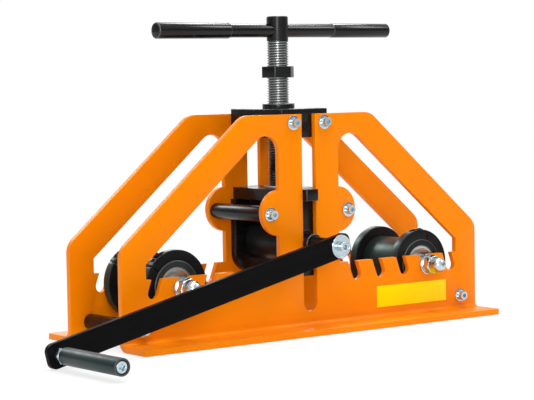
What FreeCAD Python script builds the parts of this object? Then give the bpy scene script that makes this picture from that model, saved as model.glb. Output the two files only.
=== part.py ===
import FreeCAD, Part
import math
import os

from FreeCAD import Placement, Rotation, Vector

# Ring roller: two folded side plates hold two lower rollers in open slots.  A screw spindle
# presses a carriage with a cranked centre roller down between them.
# Millimetres.  +X runs along the machine, +Y to the rear, +Z up.  The origin lies on the bench
# under the middle of the centre slots, halfway between the two side plates.

# --- Side plates -----------------------------------------------------------------------------
PLATE_THICKNESS = 8.0
PLATE_GAP = 116.0                # between the inner faces of the two webs
FRAME_LENGTH = 620.0
FRAME_HEIGHT = 298.0
END_HEIGHT = 130.9               # of each end, to where the sloping edge would meet it
TOP_LENGTH = 221.6               # of the level top edge, before its corners are rounded
SHOULDER_RADIUS = 25.0
TOP_CORNER_RADIUS = 28.0
BAND_WIDTH = 40.0                # of the sloping band and of the two middle columns
POST_WIDTH = 38.0                # of the upright at each end
LEDGE_HEIGHT = 90.5              # of the slotted ledge under each window
WINDOW_TOP_RADIUS = 22.0
FLANGE_REACH = 52.0              # of the foot, past the outer face of the web
FLANGE_CORNER_RADIUS = 4.0
BEND_INNER_RADIUS = 7.0
CENTRE_SLOT_WIDTH = 24.0
CENTRE_SLOT_BOTTOM = 27.0
EAR_RADIUS = 31.5
EAR_CENTRE = (50.0, 165.0)

# --- Slots that take the lower rollers ---------------------------------------------------------
SLOT_COUNT = 5
SLOT_FIRST = 83.0                # first slot's round bottom, from the middle of the machine
SLOT_END_MARGIN = 11.0           # from the last slot's round bottom to the end post
SLOT_BOTTOM_HEIGHT = 72.7        # of the centre of each slot's round bottom
SLOT_WIDTH = 17.0
SLOT_LEAN = 20.0                 # degrees from upright, outwards going down
SLOT_IN_USE = 4                  # counted from the middle
FLAT_CLEARANCE = 0.15            # between an axle's flats and its slot, each side

# --- Screws of the frame -----------------------------------------------------------------------
M8_DIAMETER = 8.0
M8_HEAD = 13.0
M8_HEX = 6.0
FRAME_SCREW_LENGTH = 30.0
FRAME_WASHER_DIAMETER = 20.0
FRAME_WASHER_THICKNESS = 2.0
HOLE_CLEARANCE = 0.5             # between a fastener and its hole, each side
SOCKET_DEPTH = 0.55              # of a hex socket, as a share of its screw's diameter
EAR_SCREW_OFFSET = (18.0, -1.5)  # from the ear's centre
BASE_SCREW_INSET = 31.0          # from the end of the plate
BASE_SCREW_HEIGHT = 26.2
BLOCK_SCREW_REACH = 27.0         # from the middle of the machine
BLOCK_SCREW_DROP = 11.5          # below the top edge of the plate
OVERSHOOT = 1.0                  # of a cutter, past the face that it cuts
SPACER_DIAMETER = 22.0

# --- Top block and threaded bush ---------------------------------------------------------------
BLOCK_LENGTH = 80.0
BLOCK_HEIGHT = 39.5
BLOCK_STANDS_PROUD = 7.0         # of the top edge of the side plates
BUSH_BODY_DIAMETER = 38.0
BUSH_FLANGE_DIAMETER = 45.0
BUSH_FLANGE_THICKNESS = 7.0
EDGE_BREAK = 0.8                 # chamfer on machined edges
NUT_FACE_SHARE = 0.96            # of a nut's round face, as a share of its width across flats
NUT_CHAMFER_ANGLE = 30.0         # degrees

# --- Label -------------------------------------------------------------------------------------
LABEL_LENGTH = 132.0
LABEL_HEIGHT = 30.0
LABEL_GAP = 27.5                 # between the label and the base screw's centre
LABEL_BOTTOM = 21.6
LABEL_THICKNESS = 0.4

# --- Spindle -----------------------------------------------------------------------------------
SPINDLE_DIAMETER = 30.0
THREAD_PITCH = 3.5
THREAD_DEPTH = 1.9
THREAD_CREST = 1.0               # flat on the top of each thread
THREAD_ROOT = 0.5                # flat at the bottom between two threads
THREAD_CLEARANCE = 0.1           # round the spindle, each side, in the bush and the lock nut
SPINDLE_STANDS_PROUD = 120.7     # of the bush
PLAIN_HEAD_LENGTH = 34.1
JOURNAL_DIAMETER = 20.0
BAR_DIAMETER = 19.0
BAR_BELOW_TOP = 19.7             # of the spindle
BAR_LEFT = 204.5
BAR_RIGHT = 199.0
BAR_FIT = 0.05
LEFT_SLEEVE_DIAMETER = 22.0
LEFT_SLEEVE_START = 85.0
RIGHT_SLEEVE_DIAMETER = 20.0
RIGHT_SLEEVE_START = 95.0
RETAINER_DIAMETER = 34.0
RETAINER_THICKNESS = 4.0
RETAINER_SCREW_LENGTH = 20.0
M10_DIAMETER = 10.0
M10_HEAD = 16.0
M10_HEX = 8.0
LOCK_NUT_ACROSS_FLATS = 41.0
LOCK_NUT_THICKNESS = 15.6
LOCK_NUT_LIFT = 35.8             # above the bush
LOCK_NUT_TURN = 42.0             # degrees, of one of its corners from +X

# --- Carriage ----------------------------------------------------------------------------------
SHAFT_HEIGHT = 120.0
SHAFT_DIAMETER = 20.0
SLIDE_CLEARANCE = 0.5            # between the carriage and each web
CAP_LENGTH = 77.0
CAP_ABOVE_SHAFT = 59.0           # its lower face, from the shaft's axis
CAP_THICKNESS = 16.0
TONGUE_WIDTH = 20.0
TONGUE_STANDS_PROUD = 7.0        # of the outer face of the web
CHEEK_LENGTH = 86.0
CHEEK_THICKNESS = 12.0
CHEEK_BELOW_SHAFT = 45.0
CHEEK_CORNER_RADIUS = 28.0
CHEEK_SCREW_SPREAD = 22.0
CHEEK_SCREW_INSET = 1.0          # of the cheek screws from the middle of the cheek's thickness
CHEEK_SCREW_LENGTH = 25.0
M6_DIAMETER = 6.0
M6_HEAD = 10.0
M6_HEX = 5.0
THRUST_WASHER_THICKNESS = 3.0
THRUST_WASHER_DIAMETER = 44.0
SHAFT_BUSH_WALL = 8.5
RUNNING_CLEARANCE = 0.05         # round turning shafts and journals, each side
END_PLAY = 0.3                   # between a turning part and what stands beside it

# --- Crank -------------------------------------------------------------------------------------
CENTRE_ROLLER_DIAMETER = 54.0
KEY_WIDTH = 6.0
KEY_LENGTH = 60.0
COLLAR_DIAMETER = 28.0
COLLAR_LENGTH = 10.0
SET_SCREW_DIAMETER = 5.0
SET_SCREW_HEX = 2.5
SHAFT_REAR_STUB = 4.0            # of the shaft, past the rear collar
ARM_SIDE_GAP = 5.0               # between the arm and the edge of the foot flange
ARM_THICKNESS = 8.0
ARM_WIDTH = 32.0
ARM_CENTRES = 455.0
ARM_HUB_REACH = 18.0             # of the arm, past the shaft's axis
ARM_END_REACH = 16.0             # of the arm, past the grip's line
ARM_CORNER_RADIUS = 10.0
ARM_REST_GAP = 0.5               # between the arm's low end and the bench
TENON_WIDTH = 14.0
ARM_WASHER_THICKNESS = 2.0
ARM_SCREW_LENGTH = 22.0

# --- Grip --------------------------------------------------------------------------------------
GRIP_NUT_ACROSS_FLATS = 19.0
GRIP_NUT_THICKNESS = 13.0
GRIP_DIAMETER = 22.0
GRIP_LENGTH = 124.5
GRIP_RECESS_DEPTH = 12.0
GRIP_CLEARANCE = 0.1

# --- Lower rollers -----------------------------------------------------------------------------
ROLLER_CORE_DIAMETER = 70.0
ROLLER_CORE_LENGTH = 108.0
ROLLER_CORE_WALL = 15.0          # between the two bearings
RING_DIAMETER = 98.0
RING_THICKNESS = 13.0
RING_SETBACKS = (1.0, 6.0)       # of the front and rear rings' outer faces from the core's ends
RING_SLIT = 2.0
RING_SCREW_LENGTH = 16.0
RING_SCREW_RADIUS = 44.8         # of the clamp screw's line, from the axle
RING_SCREW_SEAT = 7.0            # of the clamp screw's head, from the middle of the slit
RING_SLIT_ANGLES = {"left": (143.0, 143.0), "right": (72.0, 250.0)}   # front ring, rear ring
RING_SCREW_SIDES = {"left": -1, "right": 1}   # which side of the slit the screw head lies on
AXLE_DIAMETER = 20.0
AXLE_END_DIAMETER = 16.0
BEARING_DIAMETER = 52.0
BEARING_WIDTH = 15.0
BEARING_SETBACK = 1.0            # of a bearing from the end of the core
RACE_WALL = 4.0
SHIELD_THICKNESS = 1.0
SHIELD_SET_IN = 0.6              # from the face of the outer ring
SHIELD_GAP = 0.6                 # between a shield and the inner ring
BALL_DIAMETER = 9.5
BALL_COUNT = 8
END_SPACER_DIAMETER = 26.0
AXLE_WASHER_DIAMETER = 29.0
AXLE_WASHER_THICKNESS = 3.0
DOME_NUT_ACROSS_FLATS = 24.0
DOME_NUT_HEIGHT = 32.0
DOME_NUT_HEX_HEIGHT = 13.0
DOME_NUT_CROWN = 23.0
DOME_NUT_TURN = 12.0             # degrees
DOME_NUT_END_WALL = 10.0         # between the axle's end and the top of the dome

# --- Worked out from the sizes above -----------------------------------------------------------
WEB_IN = PLATE_GAP / 2
WEB_OUT = WEB_IN + PLATE_THICKNESS
HALF_LENGTH = FRAME_LENGTH / 2
FLANGE_EDGE = WEB_OUT + FLANGE_REACH
SLOT_PITCH = (HALF_LENGTH - POST_WIDTH - SLOT_END_MARGIN - SLOT_FIRST) / (SLOT_COUNT - 1)
HALF_FLATS = SLOT_WIDTH / 2 - FLAT_CLEARANCE
SEAT_RISE = (math.sqrt((AXLE_DIAMETER / 2) ** 2 - HALF_FLATS ** 2)
             - math.sqrt((SLOT_WIDTH / 2) ** 2 - HALF_FLATS ** 2))   # of an axle, up its slot
SEAT_SHIFT = SEAT_RISE * math.sin(math.radians(SLOT_LEAN))
ROLLER_X = SLOT_FIRST + (SLOT_IN_USE - 1) * SLOT_PITCH - SEAT_SHIFT
AXLE_HEIGHT = SLOT_BOTTOM_HEIGHT + SEAT_RISE * math.cos(math.radians(SLOT_LEAN))
EAR_SCREW = (EAR_CENTRE[0] + EAR_SCREW_OFFSET[0], EAR_CENTRE[1] + EAR_SCREW_OFFSET[1])
BASE_SCREW = (HALF_LENGTH - BASE_SCREW_INSET, BASE_SCREW_HEIGHT)
BLOCK_SCREW = (BLOCK_SCREW_REACH, FRAME_HEIGHT - BLOCK_SCREW_DROP)
BLOCK_TOP = FRAME_HEIGHT + BLOCK_STANDS_PROUD
BLOCK_BOTTOM = BLOCK_TOP - BLOCK_HEIGHT
BUSH_TOP = BLOCK_TOP + BUSH_FLANGE_THICKNESS
LABEL_END = BASE_SCREW[0] - LABEL_GAP
LABEL_START = LABEL_END - LABEL_LENGTH
LOCK_NUT_BOTTOM = BUSH_TOP + LOCK_NUT_LIFT
SPINDLE_TOP = BUSH_TOP + SPINDLE_STANDS_PROUD
THREAD_TOP = SPINDLE_TOP - PLAIN_HEAD_LENGTH
BAR_HEIGHT = SPINDLE_TOP - BAR_BELOW_TOP
NUT_BORE = SPINDLE_DIAMETER + 2 * THREAD_CLEARANCE
SCREW_SEAT = WEB_OUT + FRAME_WASHER_THICKNESS
SCREW_TIP = SCREW_SEAT - FRAME_SCREW_LENGTH
CAP_BOTTOM = SHAFT_HEIGHT + CAP_ABOVE_SHAFT
CAP_TOP = CAP_BOTTOM + CAP_THICKNESS
CHEEK_OUT = WEB_IN - SLIDE_CLEARANCE
CHEEK_IN = CHEEK_OUT - CHEEK_THICKNESS
CHEEK_SCREW_LINE = (CHEEK_IN + CHEEK_OUT) / 2 - CHEEK_SCREW_INSET
CHEEK_SCREW_SEAT = CAP_TOP - M6_DIAMETER - HOLE_CLEARANCE
SHAFT_BUSH_DIAMETER = SHAFT_DIAMETER + 2 * SHAFT_BUSH_WALL
SPINDLE_SHOULDER = CAP_TOP + THRUST_WASHER_THICKNESS
JOURNAL_END = CAP_BOTTOM - END_PLAY
RETAINER_FACE = JOURNAL_END - RETAINER_THICKNESS
COLLAR_IN = WEB_OUT + SLIDE_CLEARANCE
COLLAR_OUT = COLLAR_IN + COLLAR_LENGTH
ARM_BACK = FLANGE_EDGE + ARM_SIDE_GAP
ARM_FRONT = ARM_BACK + ARM_THICKNESS
ARM_CORNER_ALONG = ARM_CENTRES + ARM_END_REACH - ARM_CORNER_RADIUS
ARM_CORNER_ACROSS = ARM_WIDTH / 2 - ARM_CORNER_RADIUS
ARM_CORNER_DROP = SHAFT_HEIGHT - ARM_CORNER_RADIUS - ARM_REST_GAP   # of the low far corner's centre
ARM_DROOP = math.degrees(math.asin(ARM_CORNER_DROP / math.hypot(ARM_CORNER_ALONG, ARM_CORNER_ACROSS))
                         - math.atan2(ARM_CORNER_ACROSS, ARM_CORNER_ALONG))
ARM_SCREW_SEAT = ARM_FRONT + ARM_WASHER_THICKNESS
GRIP_START = ARM_FRONT + GRIP_NUT_THICKNESS + END_PLAY
GRIP_SCREW_SEAT = GRIP_START + GRIP_LENGTH - GRIP_RECESS_DEPTH + END_PLAY
HALF_CORE = ROLLER_CORE_LENGTH / 2
BEARING_OUT = HALF_CORE - BEARING_SETBACK
BEARING_IN = BEARING_OUT - BEARING_WIDTH
RACE_INNER_DIAMETER = AXLE_DIAMETER + 2 * RACE_WALL
RACE_OUTER_DIAMETER = BEARING_DIAMETER - 2 * RACE_WALL
WASHER_FACE = WEB_OUT + AXLE_WASHER_THICKNESS
AXLE_END = WASHER_FACE + DOME_NUT_HEIGHT - DOME_NUT_END_WALL

X_AXIS = Vector(1, 0, 0)
Y_AXIS = Vector(0, 1, 0)
Z_AXIS = Vector(0, 0, 1)
SIDES = (-1, 1)                  # front and rear, or left and right
SHAFT_AXIS = Vector(0, 0, SHAFT_HEIGHT)


# --- Simple solids -----------------------------------------------------------------------------

def rod(diameter, start, end):
    """A round bar between the centres of its two ends."""
    run = Vector(*end) - Vector(*start)
    return Part.makeCylinder(diameter / 2, run.Length, Vector(*start), run)


def bore(diameter, start, end):
    """A round cutter for a hole right through a piece, which runs past both faces."""
    past = (Vector(*end) - Vector(*start)).normalize() * OVERSHOOT
    return rod(diameter, Vector(*start) - past, Vector(*end) + past)


def tube(outer, inner, start, end):
    """A round bar with a hole right through it."""
    return rod(outer, start, end).cut(rod(inner, start, end))


def block(low, high):
    """A square-cornered block between two opposite corners."""
    size = Vector(*high) - Vector(*low)
    return Part.makeBox(size.x, size.y, size.z, Vector(*low))


def aim(shape, start, direction):
    """Moves a shape drawn up the Z axis so that it starts at a point and runs along a direction."""
    moved = shape.copy()
    moved.Placement = Placement(Vector(*start), Rotation(Z_AXIS, Vector(*direction)))
    return moved


def turned(profile):
    """A lathe-turned solid about the Z axis, from (radius, height) points."""
    points = [Vector(radius, 0, height) for radius, height in profile]
    face = Part.Face(Part.makePolygon(points + points[:1]))
    return face.revolve(Vector(0, 0, 0), Z_AXIS, 360)


def chamfered_rod(diameter, length):
    """A round bar up the Z axis with both ends chamfered."""
    radius = diameter / 2
    return turned([(0, 0), (radius - EDGE_BREAK, 0), (radius, EDGE_BREAK),
                   (radius, length - EDGE_BREAK), (radius - EDGE_BREAK, length), (0, length)])


def hexagon(across_flats, height, corner_angle=0.0):
    """A six-sided bar up the Z axis, with one corner at the given angle from +X."""
    radius = across_flats / 2 / math.cos(math.pi / 6)
    angles = [math.radians(corner_angle + 60 * side) for side in range(6)]
    points = [Vector(radius * math.cos(angle), radius * math.sin(angle), 0) for angle in angles]
    return Part.Face(Part.makePolygon(points + points[:1])).extrude(Vector(0, 0, height))


def nut_blank(across_flats, height, corner_angle=0.0):
    """A hexagon whose corners are chamfered at both faces, as on a nut."""
    corner_radius = across_flats / 2 / math.cos(math.pi / 6)
    face_radius = across_flats / 2 * NUT_FACE_SHARE
    drop = (corner_radius - face_radius) * math.tan(math.radians(NUT_CHAMFER_ANGLE))
    barrel = turned([(0, 0), (face_radius, 0), (corner_radius, drop),
                     (corner_radius, height - drop), (face_radius, height), (0, height)])
    return hexagon(across_flats, height, corner_angle).common(barrel)


def cap_screw(diameter, head_diameter, hex_size, length, seat, direction):
    """A socket cap screw; seat is under its head, and direction points from there to the head."""
    depth = diameter * SOCKET_DEPTH
    head = chamfered_rod(head_diameter, diameter)
    head = head.cut(hexagon(hex_size, depth + OVERSHOOT).translate(Vector(0, 0, diameter - depth)))
    return aim(head.fuse(rod(diameter, (0, 0, -length), (0, 0, 0))), seat, direction)


def outline(corners, to_point):
    """A closed wire through (u, v, radius) corners, each rounded to its own radius."""
    bends = []
    for index, (u, v, radius) in enumerate(corners):
        corner = Vector(u, v, 0)
        before = Vector(*corners[index - 1][:2], 0) - corner
        after = Vector(*corners[(index + 1) % len(corners)][:2], 0) - corner
        before.normalize()
        after.normalize()
        half_angle = before.getAngle(after) / 2
        reach = radius / math.tan(half_angle)
        inward = (before + after).normalize()
        middle = corner + inward * (radius / math.sin(half_angle) - radius)
        bends.append((corner + before * reach, middle, corner + after * reach, radius))
    edges = []
    for index, (start, middle, end, radius) in enumerate(bends):
        previous_end = bends[index - 1][2]
        if (start - previous_end).Length > 0.001:
            edges.append(Part.makeLine(to_point(previous_end), to_point(start)))
        if radius > 0:
            edges.append(Part.Arc(to_point(start), to_point(middle), to_point(end)).toShape())
    return Part.Wire(edges)


def prism_y(corners, y_start, y_end):
    """A rounded outline in the XZ plane, extruded along Y."""
    low, high = sorted((y_start, y_end))
    wire = outline(corners, lambda point: Vector(point.x, low, point.y))
    return Part.Face(wire).extrude(Vector(0, high - low, 0))


def round_edges(shape, diameter):
    """The circular edges of one diameter on a shape."""
    return [edge for edge in shape.Edges
            if hasattr(edge.Curve, "Radius") and abs(2 * edge.Curve.Radius - diameter) < 0.01]


def save(name, *solids):
    """Writes one sub-part, with each of its solids kept separate."""
    shape = solids[0] if len(solids) == 1 else Part.makeCompound(list(solids))
    shape.exportStep("parts/" + name + ".step")


os.makedirs("parts", exist_ok=True)


# --- Side plates -------------------------------------------------------------------------------

def folded_sheet(side):
    """The full-length angle section of one plate: web, bend and flange; side is -1 for the front."""
    bend_outer = BEND_INNER_RADIUS + PLATE_THICKNESS
    corners = [(WEB_IN, 0, bend_outer), (WEB_IN, FRAME_HEIGHT, 0), (WEB_OUT, FRAME_HEIGHT, 0),
               (WEB_OUT, PLATE_THICKNESS, BEND_INNER_RADIUS), (FLANGE_EDGE, PLATE_THICKNESS, 0),
               (FLANGE_EDGE, 0, 0)]
    wire = outline(corners, lambda point: Vector(-HALF_LENGTH, side * point.x, point.y))
    sheet = Part.Face(wire).extrude(Vector(FRAME_LENGTH, 0, 0))
    corner_edges = [edge for edge in sheet.Edges
                    if abs(edge.BoundBox.Center.y - side * FLANGE_EDGE) < 0.01
                    and edge.BoundBox.XLength < 0.01]
    return sheet.makeFillet(FLANGE_CORNER_RADIUS, corner_edges)


def through_web(corners, side):
    """A cutter of the given outline that passes through one web."""
    return prism_y(corners, side * (WEB_IN - OVERSHOOT), side * (WEB_OUT + OVERSHOOT))


def web_hole(diameter, x, z, side):
    """A round cutter that passes through one web."""
    return bore(diameter, (x, side * WEB_IN, z), (x, side * WEB_OUT, z))


def axle_slot(side, way, x):
    """The cutter for one leaning slot, which opens in the ledge; way is -1 on the left."""
    lean = math.radians(SLOT_LEAN)
    rise = (LEDGE_HEIGHT - SLOT_BOTTOM_HEIGHT + SLOT_WIDTH) / math.cos(lean)
    seat = Vector(way * x, SLOT_BOTTOM_HEIGHT, 0)
    up = Vector(-way * math.sin(lean), math.cos(lean), 0) * rise
    across = Vector(math.cos(lean), way * math.sin(lean), 0) * (SLOT_WIDTH / 2)
    ends = [seat - across, seat + across, seat + across + up, seat - across + up]
    channel = through_web([(end.x, end.y, 0) for end in ends], side)
    return channel.fuse(web_hole(SLOT_WIDTH, way * x, SLOT_BOTTOM_HEIGHT, side))


def side_plate(side):
    """One side plate with its slots, windows, ears and screw holes."""
    slope = (FRAME_HEIGHT - END_HEIGHT) / (HALF_LENGTH - TOP_LENGTH / 2)
    inner_rise = END_HEIGHT + HALF_LENGTH * slope - BAND_WIDTH * math.hypot(1, slope)
    half_slot = CENTRE_SLOT_WIDTH / 2
    half_outline = [(half_slot, CENTRE_SLOT_BOTTOM, half_slot), (half_slot, FRAME_HEIGHT, 0),
                    (TOP_LENGTH / 2, FRAME_HEIGHT, TOP_CORNER_RADIUS),
                    (HALF_LENGTH, END_HEIGHT, SHOULDER_RADIUS), (HALF_LENGTH, 0, 0)]
    mirrored = [(-x, z, radius) for x, z, radius in reversed(half_outline)]
    silhouette = prism_y(half_outline + mirrored,
                         side * (WEB_IN - OVERSHOOT), side * (FLANGE_EDGE + OVERSHOOT))
    plate = folded_sheet(side).common(silhouette)
    column = half_slot + BAND_WIDTH
    window_end = HALF_LENGTH - POST_WIDTH
    for way in SIDES:
        window = through_web([(way * column, LEDGE_HEIGHT, 0), (way * window_end, LEDGE_HEIGHT, 0),
                              (way * window_end, inner_rise - window_end * slope, 0),
                              (way * column, inner_rise - column * slope, WINDOW_TOP_RADIUS)], side)
        plate = plate.cut(window.cut(web_hole(2 * EAR_RADIUS, way * EAR_CENTRE[0], EAR_CENTRE[1], side)))
        for index in range(SLOT_COUNT):
            plate = plate.cut(axle_slot(side, way, SLOT_FIRST + index * SLOT_PITCH))
        for x, z in (EAR_SCREW, BASE_SCREW, BLOCK_SCREW):
            plate = plate.cut(web_hole(M8_DIAMETER + 2 * HOLE_CLEARANCE, way * x, z, side))
    return plate.removeSplitter()


save("front_side_plate", side_plate(-1))
save("rear_side_plate", side_plate(1))


# --- Top block, spacer bars and their screws ---------------------------------------------------

def tapped(shape, x, z):
    """Drills the screw hole in each end of a piece that stands between the webs."""
    bottom = SCREW_TIP - M8_DIAMETER / 2
    for side in SIDES:
        shape = shape.cut(rod(M8_DIAMETER, (x, side * bottom, z), (x, side * (WEB_IN + OVERSHOOT), z)))
    return shape


top_block = block((-BLOCK_LENGTH / 2, -WEB_IN, BLOCK_BOTTOM), (BLOCK_LENGTH / 2, WEB_IN, BLOCK_TOP))
top_block = top_block.makeChamfer(EDGE_BREAK, top_block.Edges)
top_block = top_block.cut(bore(BUSH_BODY_DIAMETER, (0, 0, BLOCK_BOTTOM), (0, 0, BLOCK_TOP)))
for way in SIDES:
    top_block = tapped(top_block, way * BLOCK_SCREW[0], BLOCK_SCREW[1])
save("top_block", top_block)

bush = chamfered_rod(BUSH_FLANGE_DIAMETER, BUSH_FLANGE_THICKNESS).translate(Vector(0, 0, BLOCK_TOP))
bush = bush.fuse(rod(BUSH_BODY_DIAMETER, (0, 0, BLOCK_BOTTOM), (0, 0, BLOCK_TOP)))
save("spindle_nut", bush.cut(bore(NUT_BORE, (0, 0, BLOCK_BOTTOM), (0, 0, BUSH_TOP))))

for name, (x, z) in (("ear_spacer", EAR_SCREW), ("base_spacer", BASE_SCREW)):
    for end, way in (("left", -1), ("right", 1)):
        bar = aim(chamfered_rod(SPACER_DIAMETER, PLATE_GAP), (way * x, -WEB_IN, z), Y_AXIS)
        save(name + "_" + end, tapped(bar, way * x, z))

SCREW_PLACES = [(side, way * x, z) for side in SIDES for way in SIDES
                for x, z in (EAR_SCREW, BASE_SCREW, BLOCK_SCREW)]
save("side_screws", *[cap_screw(M8_DIAMETER, M8_HEAD, M8_HEX, FRAME_SCREW_LENGTH,
                                (x, side * SCREW_SEAT, z), Y_AXIS * side)
                      for side, x, z in SCREW_PLACES])
save("side_washers", *[tube(FRAME_WASHER_DIAMETER, M8_DIAMETER + 2 * HOLE_CLEARANCE,
                            (x, side * WEB_OUT, z), (x, side * SCREW_SEAT, z))
                       for side, x, z in SCREW_PLACES])

save("label_plate", block((LABEL_START, -WEB_OUT - LABEL_THICKNESS, LABEL_BOTTOM),
                          (LABEL_START + LABEL_LENGTH, -WEB_OUT, LABEL_BOTTOM + LABEL_HEIGHT)))


# --- Lower rollers -----------------------------------------------------------------------------

def axle_ring(outer, inner, x, y_start, y_end):
    """A ring round the axle line at x."""
    return tube(outer, inner, (x, y_start, AXLE_HEIGHT), (x, y_end, AXLE_HEIGHT))


def axle(x, way):
    """An axle: flats fit its two slots, and its thinner ends take the washers and dome nuts."""
    round_end = WEB_IN - EDGE_BREAK
    flat_end = WEB_OUT - END_PLAY
    ends = aim(chamfered_rod(AXLE_END_DIAMETER, 2 * AXLE_END), (0, -AXLE_END, 0), Y_AXIS)
    flats = rod(AXLE_DIAMETER, (0, -flat_end, 0), (0, flat_end, 0))
    flats = flats.common(block((-HALF_FLATS, -flat_end, -AXLE_DIAMETER),
                               (HALF_FLATS, flat_end, AXLE_DIAMETER)))
    bar = rod(AXLE_DIAMETER, (0, -round_end, 0), (0, round_end, 0)).fuse(flats).fuse(ends).removeSplitter()
    bar.rotate(Vector(0, 0, 0), Y_AXIS, -way * SLOT_LEAN)
    return bar.translate(Vector(x, 0, AXLE_HEIGHT))


def ball_track(x, side):
    """The round groove that the balls of one bearing roll in, as a cutter for both races."""
    circle = (RACE_INNER_DIAMETER + RACE_OUTER_DIAMETER) / 4
    track = Part.makeTorus(circle, BALL_DIAMETER / 2 + RUNNING_CLEARANCE)
    return aim(track, (x, side * (BEARING_IN + BEARING_OUT) / 2, AXLE_HEIGHT), Y_AXIS)


def outer_race(x, side):
    """A bearing's outer ring with its two shields."""
    race = axle_ring(BEARING_DIAMETER, RACE_OUTER_DIAMETER, x, side * BEARING_IN, side * BEARING_OUT)
    for inner in (BEARING_IN + SHIELD_SET_IN, BEARING_OUT - SHIELD_SET_IN - SHIELD_THICKNESS):
        race = race.fuse(axle_ring(RACE_OUTER_DIAMETER + RACE_WALL, RACE_INNER_DIAMETER + 2 * SHIELD_GAP,
                                   x, side * inner, side * (inner + SHIELD_THICKNESS)))
    return race.removeSplitter().cut(ball_track(x, side))


def balls(x, side):
    """The balls of one bearing."""
    circle = (RACE_INNER_DIAMETER + RACE_OUTER_DIAMETER) / 4
    middle = Vector(x, side * (BEARING_IN + BEARING_OUT) / 2, AXLE_HEIGHT)
    angles = [2 * math.pi * index / BALL_COUNT for index in range(BALL_COUNT)]
    return [Part.makeSphere(BALL_DIAMETER / 2, middle + Vector(math.cos(angle), 0, math.sin(angle)) * circle)
            for angle in angles]


def roller_core(x):
    """The tube that the work runs on, bored at both ends for the bearings."""
    bore = ROLLER_CORE_DIAMETER - 2 * ROLLER_CORE_WALL
    core = axle_ring(ROLLER_CORE_DIAMETER, bore, x, -HALF_CORE, HALF_CORE)
    core = core.makeChamfer(EDGE_BREAK, round_edges(core, ROLLER_CORE_DIAMETER))
    for side in SIDES:
        core = core.cut(rod(BEARING_DIAMETER, (x, side * BEARING_IN, AXLE_HEIGHT),
                            (x, side * (HALF_CORE + OVERSHOOT), AXLE_HEIGHT)))
    return core


def clamp_screw_line(x, y, slit_angle, head_side):
    """Seat point and direction of a ring's clamp screw, which crosses the slit squarely."""
    angle = math.radians(slit_angle)
    middle = Vector(x + RING_SCREW_RADIUS * math.cos(angle), y,
                    AXLE_HEIGHT + RING_SCREW_RADIUS * math.sin(angle))
    along = Vector(-math.sin(angle), 0, math.cos(angle)) * head_side
    return middle + along * RING_SCREW_SEAT, along


def clamp_ring(x, y, slit_angle, head_side):
    """A ring on the roller core: slit through one side, with a pocket for its screw's head."""
    ring = axle_ring(RING_DIAMETER, ROLLER_CORE_DIAMETER, x, y - RING_THICKNESS / 2, y + RING_THICKNESS / 2)
    ring = ring.makeChamfer(EDGE_BREAK, round_edges(ring, RING_DIAMETER))
    slit = block((x, -HALF_CORE, AXLE_HEIGHT - RING_SLIT / 2),
                 (x + RING_DIAMETER, HALF_CORE, AXLE_HEIGHT + RING_SLIT / 2))
    slit.rotate(Vector(x, 0, AXLE_HEIGHT), Y_AXIS, -slit_angle)
    seat, along = clamp_screw_line(x, y, slit_angle, head_side)
    pocket = rod(M6_HEAD + 2 * HOLE_CLEARANCE, seat, seat + along * RING_DIAMETER)
    thread = rod(M6_DIAMETER, seat - along * (RING_SCREW_LENGTH + OVERSHOOT), seat)
    return ring.cut(slit).cut(pocket).cut(thread)


def dome_nut(x, side):
    """A hexagon nut closed by a dome, with a blind hole that takes the axle."""
    crown_radius = DOME_NUT_CROWN / 2
    straight_top = DOME_NUT_HEIGHT - crown_radius
    nut = nut_blank(DOME_NUT_ACROSS_FLATS, DOME_NUT_HEX_HEIGHT, DOME_NUT_TURN)
    nut = nut.fuse(rod(DOME_NUT_CROWN, (0, 0, DOME_NUT_HEX_HEIGHT / 2), (0, 0, straight_top)))
    nut = nut.fuse(Part.makeSphere(crown_radius, Vector(0, 0, straight_top)))
    nut = nut.cut(rod(AXLE_END_DIAMETER, (0, 0, -OVERSHOOT), (0, 0, AXLE_END - WASHER_FACE)))
    return aim(nut.removeSplitter(), (x, side * WASHER_FACE, AXLE_HEIGHT), Y_AXIS * side)


for end, way in (("left", -1), ("right", 1)):
    x = way * ROLLER_X
    save(end + "_axle", axle(x, way))
    save(end + "_bearing_inner_rings",
         *[axle_ring(RACE_INNER_DIAMETER, AXLE_DIAMETER, x, side * BEARING_IN, side * BEARING_OUT)
           .cut(ball_track(x, side)) for side in SIDES])
    save(end + "_end_spacers", *[axle_ring(END_SPACER_DIAMETER, AXLE_DIAMETER, x,
                                           side * BEARING_OUT, side * WEB_IN) for side in SIDES])
    save(end + "_roller_core", roller_core(x))
    save(end + "_bearing_outer_rings", *[outer_race(x, side) for side in SIDES])
    save(end + "_bearing_balls", *[ball for side in SIDES for ball in balls(x, side)])
    for name, side, setback, angle in zip(("front", "rear"), SIDES, RING_SETBACKS, RING_SLIT_ANGLES[end]):
        head_side = RING_SCREW_SIDES[end]
        y = side * (HALF_CORE - setback - RING_THICKNESS / 2)
        save(end + "_" + name + "_ring", clamp_ring(x, y, angle, head_side))
        save(end + "_" + name + "_ring_screw", cap_screw(M6_DIAMETER, M6_HEAD, M6_HEX, RING_SCREW_LENGTH,
                                                         *clamp_screw_line(x, y, angle, head_side)))

AXLE_ENDS = [(way * ROLLER_X, side) for side in SIDES for way in SIDES]
save("axle_washers", *[axle_ring(AXLE_WASHER_DIAMETER, AXLE_END_DIAMETER + 2 * HOLE_CLEARANCE,
                                 x, side * WEB_OUT, side * WASHER_FACE) for x, side in AXLE_ENDS])
save("dome_nuts", *[dome_nut(x, side) for x, side in AXLE_ENDS])


# --- Carriage ----------------------------------------------------------------------------------

CHEEK_SCREW_PLACES = [(way * CHEEK_SCREW_SPREAD, side * CHEEK_SCREW_LINE)
                      for side in SIDES for way in SIDES]


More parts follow.
